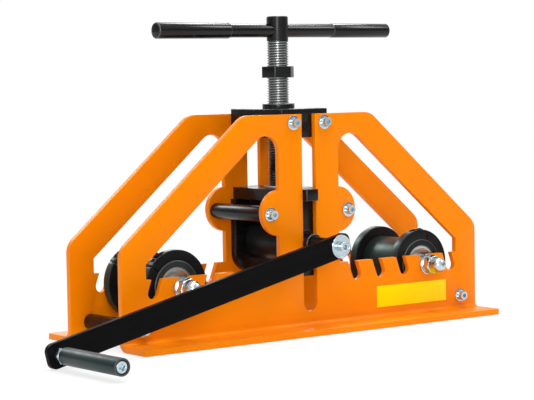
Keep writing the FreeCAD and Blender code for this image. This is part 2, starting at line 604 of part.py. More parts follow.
def carriage_cap():
    """The plate under the spindle, with a tongue that runs in each centre slot."""
    tongue_end = WEB_OUT + TONGUE_STANDS_PROUD
    cap = block((-CAP_LENGTH / 2, -CHEEK_OUT, CAP_BOTTOM), (CAP_LENGTH / 2, CHEEK_OUT, CAP_TOP))
    cap = cap.fuse(block((-TONGUE_WIDTH / 2, -tongue_end, CAP_BOTTOM),
                         (TONGUE_WIDTH / 2, tongue_end, CAP_TOP)))
    cap = cap.removeSplitter()
    journal_bore = JOURNAL_DIAMETER + 2 * RUNNING_CLEARANCE
    cap = cap.cut(bore(journal_bore, (0, 0, CAP_BOTTOM), (0, 0, CAP_TOP)))
    for x, y in CHEEK_SCREW_PLACES:
        cap = cap.cut(bore(M6_DIAMETER + 2 * HOLE_CLEARANCE, (x, y, CAP_BOTTOM), (x, y, CAP_TOP)))
        cap = cap.cut(rod(M6_HEAD + 2 * HOLE_CLEARANCE, (x, y, CHEEK_SCREW_SEAT),
                          (x, y, CAP_TOP + OVERSHOOT)))
    return cap


def cheek(side):
    """One cheek plate, which hangs under the cap and carries a bush for the drive shaft."""
    half = CHEEK_LENGTH / 2
    low = SHAFT_HEIGHT - CHEEK_BELOW_SHAFT
    plate = prism_y([(-half, low, CHEEK_CORNER_RADIUS), (-half, CAP_BOTTOM, 0), (half, CAP_BOTTOM, 0),
                     (half, low, CHEEK_CORNER_RADIUS)], side * CHEEK_IN, side * CHEEK_OUT)
    plate = plate.cut(bore(SHAFT_BUSH_DIAMETER, (0, side * CHEEK_IN, SHAFT_HEIGHT),
                           (0, side * CHEEK_OUT, SHAFT_HEIGHT)))
    for x, y in CHEEK_SCREW_PLACES:
        if y * side > 0:
            tap_bottom = CHEEK_SCREW_SEAT - CHEEK_SCREW_LENGTH - M6_DIAMETER / 2
            plate = plate.cut(rod(M6_DIAMETER, (x, y, tap_bottom), (x, y, CAP_BOTTOM + OVERSHOOT)))
    return plate


def shaft_ring(outer, inner, y_start, y_end):
    """A ring round the drive shaft."""
    return tube(outer, inner, (0, y_start, SHAFT_HEIGHT), (0, y_end, SHAFT_HEIGHT))


save("carriage_cap", carriage_cap())
save("front_cheek", cheek(-1))
save("rear_cheek", cheek(1))
save("cheek_screws", *[cap_screw(M6_DIAMETER, M6_HEAD, M6_HEX, CHEEK_SCREW_LENGTH,
                                 (x, y, CHEEK_SCREW_SEAT), Z_AXIS) for x, y in CHEEK_SCREW_PLACES])
save("shaft_bushes", *[shaft_ring(SHAFT_BUSH_DIAMETER, SHAFT_DIAMETER + 2 * RUNNING_CLEARANCE,
                                  side * CHEEK_IN, side * CHEEK_OUT) for side in SIDES])
save("spindle_thrust_washer", tube(THRUST_WASHER_DIAMETER, JOURNAL_DIAMETER + 2 * HOLE_CLEARANCE,
                                   (0, 0, CAP_TOP), (0, 0, SPINDLE_SHOULDER)))


# --- Spindle -----------------------------------------------------------------------------------

def spindle_screw():
    """The pressing screw: a journal for the cap, the thread as rings, and a plain head."""
    radius = SPINDLE_DIAMETER / 2
    thread_start = SPINDLE_SHOULDER + EDGE_BREAK
    profile = [(0, JOURNAL_END), (JOURNAL_DIAMETER / 2, JOURNAL_END),
               (JOURNAL_DIAMETER / 2, SPINDLE_SHOULDER), (radius - EDGE_BREAK, SPINDLE_SHOULDER),
               (radius, thread_start)]
    flank = (THREAD_PITCH - THREAD_CREST - THREAD_ROOT) / 2
    for turn in range(int((THREAD_TOP - thread_start) / THREAD_PITCH)):
        crest_end = thread_start + turn * THREAD_PITCH + THREAD_CREST
        profile.append((radius, crest_end))
        profile.append((radius - THREAD_DEPTH, crest_end + flank))
        profile.append((radius - THREAD_DEPTH, crest_end + flank + THREAD_ROOT))
        profile.append((radius, crest_end + THREAD_PITCH - THREAD_CREST))
    profile += [(radius, SPINDLE_TOP - EDGE_BREAK), (radius - EDGE_BREAK, SPINDLE_TOP), (0, SPINDLE_TOP)]
    bar_hole = bore(BAR_DIAMETER + 2 * BAR_FIT, (-radius, 0, BAR_HEIGHT), (radius, 0, BAR_HEIGHT))
    tap_end = RETAINER_FACE + RETAINER_SCREW_LENGTH + M10_DIAMETER / 2
    tap = rod(M10_DIAMETER, (0, 0, JOURNAL_END - OVERSHOOT), (0, 0, tap_end))
    return turned(profile).cut(bar_hole).cut(tap)


def bar_sleeve(diameter, start, end):
    """One of the two sleeves on the cross bar."""
    sleeve = aim(chamfered_rod(diameter, end - start), (start, 0, BAR_HEIGHT), X_AXIS)
    return sleeve.cut(bore(BAR_DIAMETER, (start, 0, BAR_HEIGHT), (end, 0, BAR_HEIGHT)))


save("spindle_screw", spindle_screw())
save("cross_bar", aim(chamfered_rod(BAR_DIAMETER, BAR_LEFT + BAR_RIGHT), (-BAR_LEFT, 0, BAR_HEIGHT), X_AXIS))
save("bar_sleeves", bar_sleeve(LEFT_SLEEVE_DIAMETER, -BAR_LEFT, -LEFT_SLEEVE_START),
     bar_sleeve(RIGHT_SLEEVE_DIAMETER, RIGHT_SLEEVE_START, BAR_RIGHT))
save("retainer_washer", tube(RETAINER_DIAMETER, M10_DIAMETER + 2 * HOLE_CLEARANCE,
                             (0, 0, RETAINER_FACE), (0, 0, JOURNAL_END)))
save("retainer_screw", cap_screw(M10_DIAMETER, M10_HEAD, M10_HEX, RETAINER_SCREW_LENGTH,
                                 (0, 0, RETAINER_FACE), -Z_AXIS))

lock_nut = hexagon(LOCK_NUT_ACROSS_FLATS, LOCK_NUT_THICKNESS, LOCK_NUT_TURN)
lock_nut = lock_nut.cut(bore(NUT_BORE, (0, 0, 0), (0, 0, LOCK_NUT_THICKNESS)))
save("lock_nut", lock_nut.translate(Vector(0, 0, LOCK_NUT_BOTTOM)))


# --- Crank -------------------------------------------------------------------------------------

def swung(shape):
    """Turns a piece drawn level along -X about the shaft, down to the arm's resting angle."""
    shape.rotate(SHAFT_AXIS, Y_AXIS, -ARM_DROOP)
    return shape


def shaft_square(y_start, y_end):
    """The square on the shaft's front end, which also cuts its hole in the arm."""
    half = TENON_WIDTH / 2
    return swung(block((-half, y_start, SHAFT_HEIGHT - half), (half, y_end, SHAFT_HEIGHT + half)))


def drive_shaft(key):
    """The shaft from the rear collar to the arm, with a keyway and a tapped front end."""
    rear_end = COLLAR_OUT + SHAFT_REAR_STUB
    shaft = rod(SHAFT_DIAMETER, (0, -ARM_BACK, SHAFT_HEIGHT), (0, rear_end, SHAFT_HEIGHT))
    shaft = shaft.fuse(shaft_square(END_PLAY - ARM_FRONT, OVERSHOOT - ARM_BACK)).removeSplitter()
    screw_end = ARM_SCREW_LENGTH - ARM_SCREW_SEAT
    return shaft.cut(key).cut(rod(M8_DIAMETER, (0, -ARM_FRONT - OVERSHOOT, SHAFT_HEIGHT),
                                  (0, screw_end, SHAFT_HEIGHT)))


def centre_roller(key):
    """The plain driven roller between the cheeks."""
    half = CHEEK_IN - END_PLAY
    roller = aim(chamfered_rod(CENTRE_ROLLER_DIAMETER, 2 * half), (0, -half, SHAFT_HEIGHT), Y_AXIS)
    shaft_hole = bore(SHAFT_DIAMETER, (0, -half, SHAFT_HEIGHT), (0, half, SHAFT_HEIGHT))
    return roller.cut(shaft_hole).cut(key)


def collar_screw(side):
    """The grub screw of one collar, standing on the top of the shaft."""
    wall = (COLLAR_DIAMETER - SHAFT_DIAMETER) / 2
    foot = SHAFT_AXIS + Vector(0, side * (COLLAR_IN + COLLAR_OUT) / 2, SHAFT_DIAMETER / 2)
    screw = rod(SET_SCREW_DIAMETER, foot, foot + Z_AXIS * (wall - END_PLAY))
    return screw.cut(hexagon(SET_SCREW_HEX, wall).translate(foot + Z_AXIS * (wall / 2)))


def collar(side):
    """One collar outside a side plate, tapped on top for its grub screw."""
    ring = shaft_ring(COLLAR_DIAMETER, SHAFT_DIAMETER, side * COLLAR_IN, side * COLLAR_OUT)
    ring = ring.makeChamfer(EDGE_BREAK, round_edges(ring, COLLAR_DIAMETER))
    middle = SHAFT_AXIS + Vector(0, side * (COLLAR_IN + COLLAR_OUT) / 2, 0)
    return ring.cut(rod(SET_SCREW_DIAMETER, middle, middle + Z_AXIS * COLLAR_DIAMETER))


def crank_arm():
    """The flat arm, square-holed on the shaft and tapped at its far end for the grip's screw."""
    low, high = SHAFT_HEIGHT - ARM_WIDTH / 2, SHAFT_HEIGHT + ARM_WIDTH / 2
    far = -ARM_CENTRES - ARM_END_REACH
    arm = prism_y([(ARM_HUB_REACH, low, ARM_CORNER_RADIUS), (ARM_HUB_REACH, high, ARM_CORNER_RADIUS),
                   (far, high, ARM_CORNER_RADIUS), (far, low, ARM_CORNER_RADIUS)], -ARM_FRONT, -ARM_BACK)
    arm = arm.makeFillet(EDGE_BREAK, arm.Edges)
    arm = arm.cut(bore(M10_DIAMETER, (-ARM_CENTRES, -ARM_FRONT, SHAFT_HEIGHT),
                       (-ARM_CENTRES, -ARM_BACK, SHAFT_HEIGHT)))
    return swung(arm).cut(shaft_square(-ARM_FRONT - OVERSHOOT, OVERSHOOT - ARM_BACK))


shaft_key = block((-KEY_WIDTH / 2, -KEY_LENGTH / 2, SHAFT_HEIGHT + (SHAFT_DIAMETER - KEY_WIDTH) / 2),
                  (KEY_WIDTH / 2, KEY_LENGTH / 2, SHAFT_HEIGHT + (SHAFT_DIAMETER + KEY_WIDTH) / 2))
save("roller_key", shaft_key)
save("drive_shaft", drive_shaft(shaft_key))
save("centre_roller", centre_roller(shaft_key))
save("shaft_collars", *[collar(side) for side in SIDES])
save("collar_set_screws", *[collar_screw(side) for side in SIDES])
save("crank_arm", crank_arm())
save("crank_washer", shaft_ring(ARM_WIDTH, M8_DIAMETER + 2 * HOLE_CLEARANCE,
                                -ARM_SCREW_SEAT, -ARM_FRONT))
save("crank_screw", cap_screw(M8_DIAMETER, M8_HEAD, M8_HEX, ARM_SCREW_LENGTH,
                              (0, -ARM_SCREW_SEAT, SHAFT_HEIGHT), -Y_AXIS))


# --- Grip --------------------------------------------------------------------------------------

GRIP_PLACE = SHAFT_AXIS - Vector(math.cos(math.radians(ARM_DROOP)), 0,
                                 math.sin(math.radians(ARM_DROOP))) * ARM_CENTRES


def on_grip(shape, reach):
    """Places a piece drawn up the Z axis on the grip's line, that far in front of the middle."""
    return aim(shape, GRIP_PLACE - Y_AXIS * reach, -Y_AXIS)


grip_nut = nut_blank(GRIP_NUT_ACROSS_FLATS, GRIP_NUT_THICKNESS)
grip_nut = grip_nut.cut(bore(M10_DIAMETER, (0, 0, 0), (0, 0, GRIP_NUT_THICKNESS)))
save("grip_nut", on_grip(grip_nut, ARM_FRONT))
save("grip_screw", cap_screw(M10_DIAMETER, M10_HEAD, M10_HEX, GRIP_SCREW_SEAT - ARM_BACK,
                             GRIP_PLACE - Y_AXIS * GRIP_SCREW_SEAT, -Y_AXIS))
grip = chamfered_rod(GRIP_DIAMETER, GRIP_LENGTH)
grip = grip.cut(bore(M10_DIAMETER + 2 * GRIP_CLEARANCE, (0, 0, 0), (0, 0, GRIP_LENGTH)))
grip = grip.cut(rod(M10_HEAD + 2 * HOLE_CLEARANCE, (0, 0, GRIP_LENGTH - GRIP_RECESS_DEPTH),
                    (0, 0, GRIP_LENGTH + OVERSHOOT)))
save("grip_sleeve", on_grip(grip, GRIP_START))
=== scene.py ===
import math

import bmesh
import bpy
from mathutils import Matrix, Vector


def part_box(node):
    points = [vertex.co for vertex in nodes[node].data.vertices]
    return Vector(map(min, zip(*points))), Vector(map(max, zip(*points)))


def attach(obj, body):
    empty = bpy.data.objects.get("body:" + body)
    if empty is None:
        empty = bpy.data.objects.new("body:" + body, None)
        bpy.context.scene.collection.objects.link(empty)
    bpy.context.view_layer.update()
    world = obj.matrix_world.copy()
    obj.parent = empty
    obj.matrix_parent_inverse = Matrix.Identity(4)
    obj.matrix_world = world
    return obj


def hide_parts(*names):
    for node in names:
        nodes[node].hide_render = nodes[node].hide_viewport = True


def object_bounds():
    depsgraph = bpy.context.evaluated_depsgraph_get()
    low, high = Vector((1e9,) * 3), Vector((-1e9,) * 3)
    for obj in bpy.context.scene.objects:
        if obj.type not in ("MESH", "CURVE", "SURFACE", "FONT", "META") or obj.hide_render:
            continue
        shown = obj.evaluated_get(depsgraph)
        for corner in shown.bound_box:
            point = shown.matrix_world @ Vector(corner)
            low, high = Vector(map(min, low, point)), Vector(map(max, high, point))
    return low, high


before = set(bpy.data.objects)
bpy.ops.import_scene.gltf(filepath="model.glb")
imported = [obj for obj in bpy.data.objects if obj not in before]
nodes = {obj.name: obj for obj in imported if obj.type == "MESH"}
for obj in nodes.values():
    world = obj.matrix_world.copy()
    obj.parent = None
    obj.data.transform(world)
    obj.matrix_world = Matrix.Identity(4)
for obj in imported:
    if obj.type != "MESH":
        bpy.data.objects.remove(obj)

cad_low, cad_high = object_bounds()


# ==== Side plates ==============================================================================
# Two alike folded sheets of 8 mm steel, each with a foot flange, laser-cut windows and slots.
# They are sprayed with powder and stoved, which leaves a satin orange skin with a faint
# orange-peel ripple; the cut edges carry a paler line, which is a painted highlight.

def linear(code):
    """An sRGB hex colour as linear red, green, blue and alpha."""
    shares = [int(code[place:place + 2], 16) / 255 for place in (0, 2, 4)]
    return [share / 12.92 if share <= 0.04045 else ((share + 0.055) / 1.055) ** 2.4
            for share in shares] + [1.0]


def add(tree, kind, sockets=(), **settings):
    """Adds one node; sockets takes numbers, colours or other nodes' outputs."""
    node = tree.nodes.new(kind)
    for name, value in settings.items():
        setattr(node, name, value)
    for key, value in dict(sockets).items():
        if isinstance(value, bpy.types.NodeSocket):
            tree.links.new(value, node.inputs[key])
        else:
            node.inputs[key].default_value = value
    return node


def finish_material(name):
    """An empty material and its node tree."""
    material = bpy.data.materials.new(name)
    material.use_nodes = True
    material.node_tree.nodes.clear()
    return material, material.node_tree


def powder_coat(name, face_colour, dull_colour, peel_strength):
    """Stoved powder: peel ripples about 3 mm across, and a slow drift of gloss and shade."""
    material, tree = finish_material(name)
    place = add(tree, "ShaderNodeTexCoord").outputs["Object"]
    peel = add(tree, "ShaderNodeTexNoise", {"Vector": place, "Scale": 1 / PEEL_SIZE, "Detail": 2.0})
    drift = add(tree, "ShaderNodeTexNoise", {"Vector": place, "Scale": 1 / DRIFT_SIZE, "Detail": 4.0})
    shade = add(tree, "ShaderNodeMix", {"Factor": drift.outputs["Fac"], 6: face_colour, 7: dull_colour},
                data_type="RGBA")
    gloss = add(tree, "ShaderNodeMapRange", {"Value": drift.outputs["Fac"],
                                             "From Min": NOISE_LOW, "From Max": NOISE_HIGH,
                                             "To Min": COAT_GLOSSY, "To Max": COAT_DULL})
    bump = add(tree, "ShaderNodeBump", {"Height": peel.outputs["Fac"], "Strength": peel_strength,
                                        "Distance": PEEL_DEPTH})
    skin = add(tree, "ShaderNodeBsdfPrincipled", {"Base Color": shade.outputs[2],
                                                  "Roughness": gloss.outputs[0],
                                                  "Normal": bump.outputs[0], "Specular IOR Level": 0.5,
                                                  "Specular Tint": COAT_SHEEN})
    add(tree, "ShaderNodeOutputMaterial", {"Surface": skin.outputs[0]})
    return material


def merged_copy(node_name, new_name):
    """A copy of a CAD node's mesh as one closed skin."""
    mesh = nodes[node_name].data.copy()
    work = bmesh.new()
    work.from_mesh(mesh)
    bmesh.ops.remove_doubles(work, verts=work.verts, dist=MERGE_DISTANCE)
    work.to_mesh(mesh)
    work.free()
    mesh.materials.clear()
    piece = bpy.data.objects.new(new_name, mesh)
    bpy.context.scene.collection.objects.link(piece)
    return piece


def settle(piece):
    """Turns a piece's modifiers into plain mesh and shades its round faces smooth."""
    graph = bpy.context.evaluated_depsgraph_get()
    plain = bpy.data.meshes.new_from_object(piece.evaluated_get(graph))
    piece.modifiers.clear()
    piece.data = plain
    plain.shade_smooth()
    plain.set_sharp_from_angle(angle=math.radians(SHARP_DEGREES))


def softened(node_name, body, face, edge, softening):
    """A CAD node with its corners broken by a small round that takes a finish of its own."""
    piece = merged_copy(node_name, node_name + "_finished")
    piece.data.materials.append(face)
    piece.data.materials.append(edge)
    rounding = piece.modifiers.new("edge rounding", "BEVEL")
    rounding.width = softening
    rounding.segments = 2
    rounding.limit_method = "ANGLE"
    rounding.angle_limit = math.radians(SHARP_DEGREES)
    rounding.material = 1
    settle(piece)
    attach(piece, body)
    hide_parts(node_name)
    return piece


def refinish(piece, material, chosen):
    """Gives another finish to the faces, away from softened corners, that a test picks."""
    piece.data.materials.append(material)
    place = len(piece.data.materials) - 1
    for face in piece.data.polygons:
        if face.material_index == 0 and chosen(face):
            face.material_index = place


PEEL_SIZE = 0.003
PEEL_DEPTH = 0.0004
DRIFT_SIZE = 0.12
NOISE_LOW = 0.3          # noise seldom leaves this band, so it is spread over a finish's range
NOISE_HIGH = 0.7
COAT_GLOSSY = 0.30
COAT_DULL = 0.42
COAT_SHEEN = linear("FFB050")    # the coat's shine is tinted by its own pigment
MERGE_DISTANCE = 0.000005
SHARP_DEGREES = 32
PLATE_EDGE = 0.0010

# Orange powder coat: a deep, even orange that blurs what it reflects.
coat = powder_coat("orange powder coat", linear("F58700"), linear("EC7C00"), 0.12)
# Pale peach on the rounded cut edges: a painted highlight.
edge_highlight_coat = powder_coat("orange powder coat with a painted edge highlight", linear("FFC48C"), linear("FFB06A"),
                        0.02)
for side in ("front", "rear"):
    softened(side + "_side_plate", "frame", coat, edge_highlight_coat, PLATE_EDGE)


# ==== Top block, cap, cheeks and spacer bars ===================================================
# Milled and turned steel, dipped in hot oxide salts and oiled.  The finish is blue-black with
# a satin shine; the corners carry a thin grey line, partly rubbed steel and partly a painted highlight.

def black_oxide(name, dark, light, smooth, rough, shine, sheen=(1, 1, 1, 1)):
    """Hot-dip black oxide: blotches about 25 mm across of more or less oil, over milling grain."""
    material, tree = finish_material(name)
    place = add(tree, "ShaderNodeTexCoord").outputs["Object"]
    oil = add(tree, "ShaderNodeTexNoise", {"Vector": place, "Scale": 1 / OIL_SIZE, "Detail": 5.0})
    grain = add(tree, "ShaderNodeTexNoise", {"Vector": place, "Scale": 1 / GRAIN_SIZE, "Detail": 2.0})
    shade = add(tree, "ShaderNodeMix", {"Factor": oil.outputs["Fac"], 6: dark, 7: light}, data_type="RGBA")
    gloss = add(tree, "ShaderNodeMapRange", {"Value": oil.outputs["Fac"],
                                             "From Min": NOISE_LOW, "From Max": NOISE_HIGH,
                                             "To Min": smooth, "To Max": rough})
    bump = add(tree, "ShaderNodeBump", {"Height": grain.outputs["Fac"], "Strength": GRAIN_STRENGTH,
                                        "Distance": GRAIN_DEPTH})
    skin = add(tree, "ShaderNodeBsdfPrincipled", {"Base Color": shade.outputs[2],
                                                  "Roughness": gloss.outputs[0],
                                                  "Normal": bump.outputs[0],
                                                  "Specular IOR Level": shine, "Specular Tint": sheen})
    add(tree, "ShaderNodeOutputMaterial", {"Surface": skin.outputs[0]})
    return material


OIL_SIZE = 0.025
GRAIN_SIZE = 0.0012      # real milling grain is finer; drawn this coarse so that it shows
GRAIN_DEPTH = 0.0001
GRAIN_STRENGTH = 0.15
BLOCK_EDGE = 0.0005

# Oiled oxide: near black face on, with a cool sheen; corners get a grey line, part wear, part painted
# highlight.
oxide = black_oxide("oiled black oxide steel", linear("0B0B0D"), linear("121214"), 0.20, 0.32, 0.25)
rubbed_and_highlit = black_oxide("black oxide rubbed on a corner with a painted highlight", linear("4E5254"), linear("3C4042"), 0.28, 0.40, 0.9)
for name, body in (("top_block", "frame"), ("carriage_cap", "carriage"), ("front_cheek", "carriage"),
                   ("rear_cheek", "carriage"), ("ear_spacer_left", "frame"), ("ear_spacer_right", "frame"),
                   ("base_spacer_left", "frame"), ("base_spacer_right", "frame"),
                   ("spindle_nut", "frame"), ("cheek_screws", "carriage")):
    softened(name, body, oxide, rubbed_and_highlit, BLOCK_EDGE)


# ==== Lower rollers ============================================================================
# Each is a turned steel core with two slit clamp rings that slide along it, all black oxide.
# Turning leaves fine concentric lines on their end faces, which catch the light as thin arcs.

def turned_oxide(name, centre, dark, light, shine):
    """Black oxide over lathe lines round an axis that runs along Y through the centre."""
    material, tree = finish_material(name)
    place = add(tree, "ShaderNodeTexCoord").outputs["Object"]
    centred = add(tree, "ShaderNodeMapping", {"Vector": place, "Location": (-centre[0], 0, -centre[1])})
    lines = add(tree, "ShaderNodeTexWave", {"Vector": centred.outputs[0],
                                            "Scale": math.pi / 10 / LATHE_PITCH,
                                            "Distortion": 0.6, "Detail": 1.0},
                wave_type="RINGS", rings_direction="Y", wave_profile="SIN")
    oil = add(tree, "ShaderNodeTexNoise", {"Vector": place, "Scale": 1 / OIL_SIZE, "Detail": 5.0})
    uneven = add(tree, "ShaderNodeMath", {0: oil.outputs["Fac"], 1: lines.outputs["Fac"]},
                 operation="MULTIPLY")
    shade = add(tree, "ShaderNodeMix", {"Factor": uneven.outputs[0], 6: dark, 7: light}, data_type="RGBA")
    gloss = add(tree, "ShaderNodeMapRange", {"Value": lines.outputs["Fac"],
                                             "To Min": LATHE_SMOOTH, "To Max": LATHE_ROUGH})
    bump = add(tree, "ShaderNodeBump", {"Height": lines.outputs["Fac"], "Strength": LATHE_STRENGTH,
                                        "Distance": LATHE_DEPTH})
    skin = add(tree, "ShaderNodeBsdfPrincipled", {"Base Color": shade.outputs[2],
                                                  "Roughness": gloss.outputs[0],
                                                  "Normal": bump.outputs[0], "Specular IOR Level": shine})
    add(tree, "ShaderNodeOutputMaterial", {"Surface": skin.outputs[0]})
    return material


LATHE_PITCH = 0.0012     # real feed lines are nearer 0.1 mm; drawn this coarse so that they show
LATHE_DEPTH = 0.0001
LATHE_STRENGTH = 0.35
LATHE_SMOOTH = 0.24
LATHE_ROUGH = 0.34
RING_EDGE = 0.0004
FLAT_END = 0.3           # how much a face must point along Y to count as an end face
OIL_SHEEN = linear("C4F2EC")    # grey-green, as thin oil over oxide shows a lamp


def round_face(face):
    """Whether a face lies round a roller, not on one of its ends."""
    return abs(face.normal.y) < FLAT_END


# The left core's end face is given a lighter colour than the right one's: painted light.
for end, painted_end_light in (("left", linear("565E5D")), ("right", linear("2A2D2E"))):
    low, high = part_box(end + "_roller_core")
    centre = ((low[0] + high[0]) / 2, (low[2] + high[2]) / 2)
    # Turned faces: black that breaks into thin grey arcs where the lathe lines catch a lamp.
    ring_oxide = turned_oxide("turned black oxide ring, " + end, centre, linear("0F1011"),
                              linear("2A2A29"), 0.1)
    core_oxide = turned_oxide("turned black oxide core, " + end, centre, linear("141617"),
                              painted_end_light, 0.15)
    # Round faces: a grey-green satin over the black, partly wear from the work and hands, partly a painted
    # sheen.
    barrel_wear_and_sheen = black_oxide("worn black oxide on round faces, " + end, linear("242E2C"), linear("1A2321"),
                         0.28, 0.38, 0.5, OIL_SHEEN)
    # The rings' corners rub on the work; their pale grey is partly that wear, partly a painted highlight.
    rim = black_oxide("turned rim rubbed bright, " + end, linear("66757A"), linear("4B5A5F"), 0.25, 0.38,
                      1.0, OIL_SHEEN)
    core = softened(end + "_roller_core", end + "_roller", core_oxide, rubbed_and_highlit, RING_EDGE)
    refinish(core, barrel_wear_and_sheen, round_face)
    for side in ("front", "rear"):
        body = end + "_" + side + "_ring"
        ring = softened(body, body, ring_oxide, rim, RING_EDGE)
        refinish(ring, barrel_wear_and_sheen, round_face)
        softened(body + "_screw", body, oxide, rubbed_and_highlit, RING_EDGE / 2)


# ==== Bearings and bare steel pieces ===========================================================
# Rolling bearings of hardened chrome steel, ground and polished, with pressed sheet shields, and
# the turned end spacers, the roller's key and the spindle's thrust washer, which are left bare.

def bare_steel(name, light, dark, smooth, rough, mark_size):
    """Ground or turned steel: a metal mirror, dulled by fine marks and clouded by handling."""
    material, tree = finish_material(name)
    place = add(tree, "ShaderNodeTexCoord").outputs["Object"]
    cloud = add(tree, "ShaderNodeTexNoise", {"Vector": place, "Scale": 1 / CLOUD_SIZE, "Detail": 4.0})
    marks = add(tree, "ShaderNodeTexNoise", {"Vector": place, "Scale": 1 / mark_size, "Detail": 3.0})
    shade = add(tree, "ShaderNodeMix", {"Factor": cloud.outputs["Fac"], 6: light, 7: dark}, data_type="RGBA")
    gloss = add(tree, "ShaderNodeMapRange", {"Value": marks.outputs["Fac"],
                                             "From Min": NOISE_LOW, "From Max": NOISE_HIGH,
                                             "To Min": smooth, "To Max": rough})
    bump = add(tree, "ShaderNodeBump", {"Height": marks.outputs["Fac"], "Strength": MARK_STRENGTH,
                                        "Distance": MARK_DEPTH})
    skin = add(tree, "ShaderNodeBsdfPrincipled", {"Base Color": shade.outputs[2], "Metallic": 1.0,
                                                  "Roughness": gloss.outputs[0], "Normal": bump.outputs[0]})
    add(tree, "ShaderNodeOutputMaterial", {"Surface": skin.outputs[0]})
    return material


CLOUD_SIZE = 0.015
MARK_DEPTH = 0.00005
MARK_STRENGTH = 0.1
STEEL_EDGE = 0.0003
SHIELD_RADIUS = 0.022    # the shields fill each bearing's face out to here

# Real grinding marks are nearer 0.05 mm; marks of 0.6 to 2 mm are drawn so that they show.
# Ground chrome steel: pale neutral mirror with slightly soft reflections.
ground = bare_steel("ground bearing steel", linear("D9E1DF"), linear("BCC6C5"), 0.34, 0.46, 0.0008)
ground_edge = bare_steel("polished steel corner", linear("E4E6E6"), linear("C9CCCD"), 0.15, 0.25, 0.0008)
# Pressed sheet shield: a little greyer and duller than the rings it sits between.
shield = bare_steel("pressed bearing shield", linear("C2CBC9"), linear("97A2A1"), 0.3, 0.42, 0.001)
for end in ("left", "right"):
    softened(end + "_bearing_inner_rings", "frame", ground, ground_edge, STEEL_EDGE)
    softened(end + "_end_spacers", "frame", ground, ground_edge, STEEL_EDGE)
    nodes[end + "_bearing_balls"].material_slots[0].material = ground_edge
    races = softened(end + "_bearing_outer_rings", end + "_roller", ground, ground_edge,
                     STEEL_EDGE)
    low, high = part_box(end + "_bearing_outer_rings")
    middle = ((low[0] + high[0]) / 2, (low[2] + high[2]) / 2)
    refinish(races, shield, lambda face: abs(face.normal.y) > FLAT_END and
             math.hypot(face.center.x - middle[0], face.center.z - middle[1]) < SHIELD_RADIUS)
softened("roller_key", "crank", ground, ground_edge, STEEL_EDGE)
softened("spindle_thrust_washer", "carriage", ground, ground_edge, STEEL_EDGE)

# Sintered bronze soaked in oil: near black brown, with a bare grey line on the machined corner.
bronze = bare_steel("oil-soaked sintered bronze", linear("3A312B"), linear("29231F"), 0.25, 0.40, 0.001)
bronze_edge = bare_steel("machined bronze corner", linear("B9B6AE"), linear("9A968D"), 0.2, 0.3, 0.001)
softened("shaft_bushes", "carriage", bronze, bronze_edge, RING_EDGE)


# ==== Zinc-plated fasteners ====================================================================
# Washers, dome nuts, axles and screws are bright zinc plated: a thin blue-white metal skin,
# mirror-like on machined faces and a little cloudy where fingers have been.

# Bright zinc: bluish mirror that goes from near white to dark within one small part.
zinc = bare_steel("bright zinc plate", linear("D2DFE5"), linear("B8C7CF"), 0.16, 0.22, 0.0006)
zinc_edge = bare_steel("bright zinc plate on a corner", linear("F6FAFC"), linear("E4ECF1"), 0.2, 0.3, 0.002)
ZINC_EDGE = 0.0003
for name, body in (("left_axle", "frame"), ("right_axle", "frame"), ("axle_washers", "frame"),
                   ("dome_nuts", "frame"), ("side_washers", "frame"),
                   ("grip_screw", "crank"), ("grip_nut", "crank"), ("crank_screw", "crank"),
                   ("retainer_washer", "spindle"), ("retainer_screw", "spindle")):
    softened(name, body, zinc, zinc_edge, ZINC_EDGE)


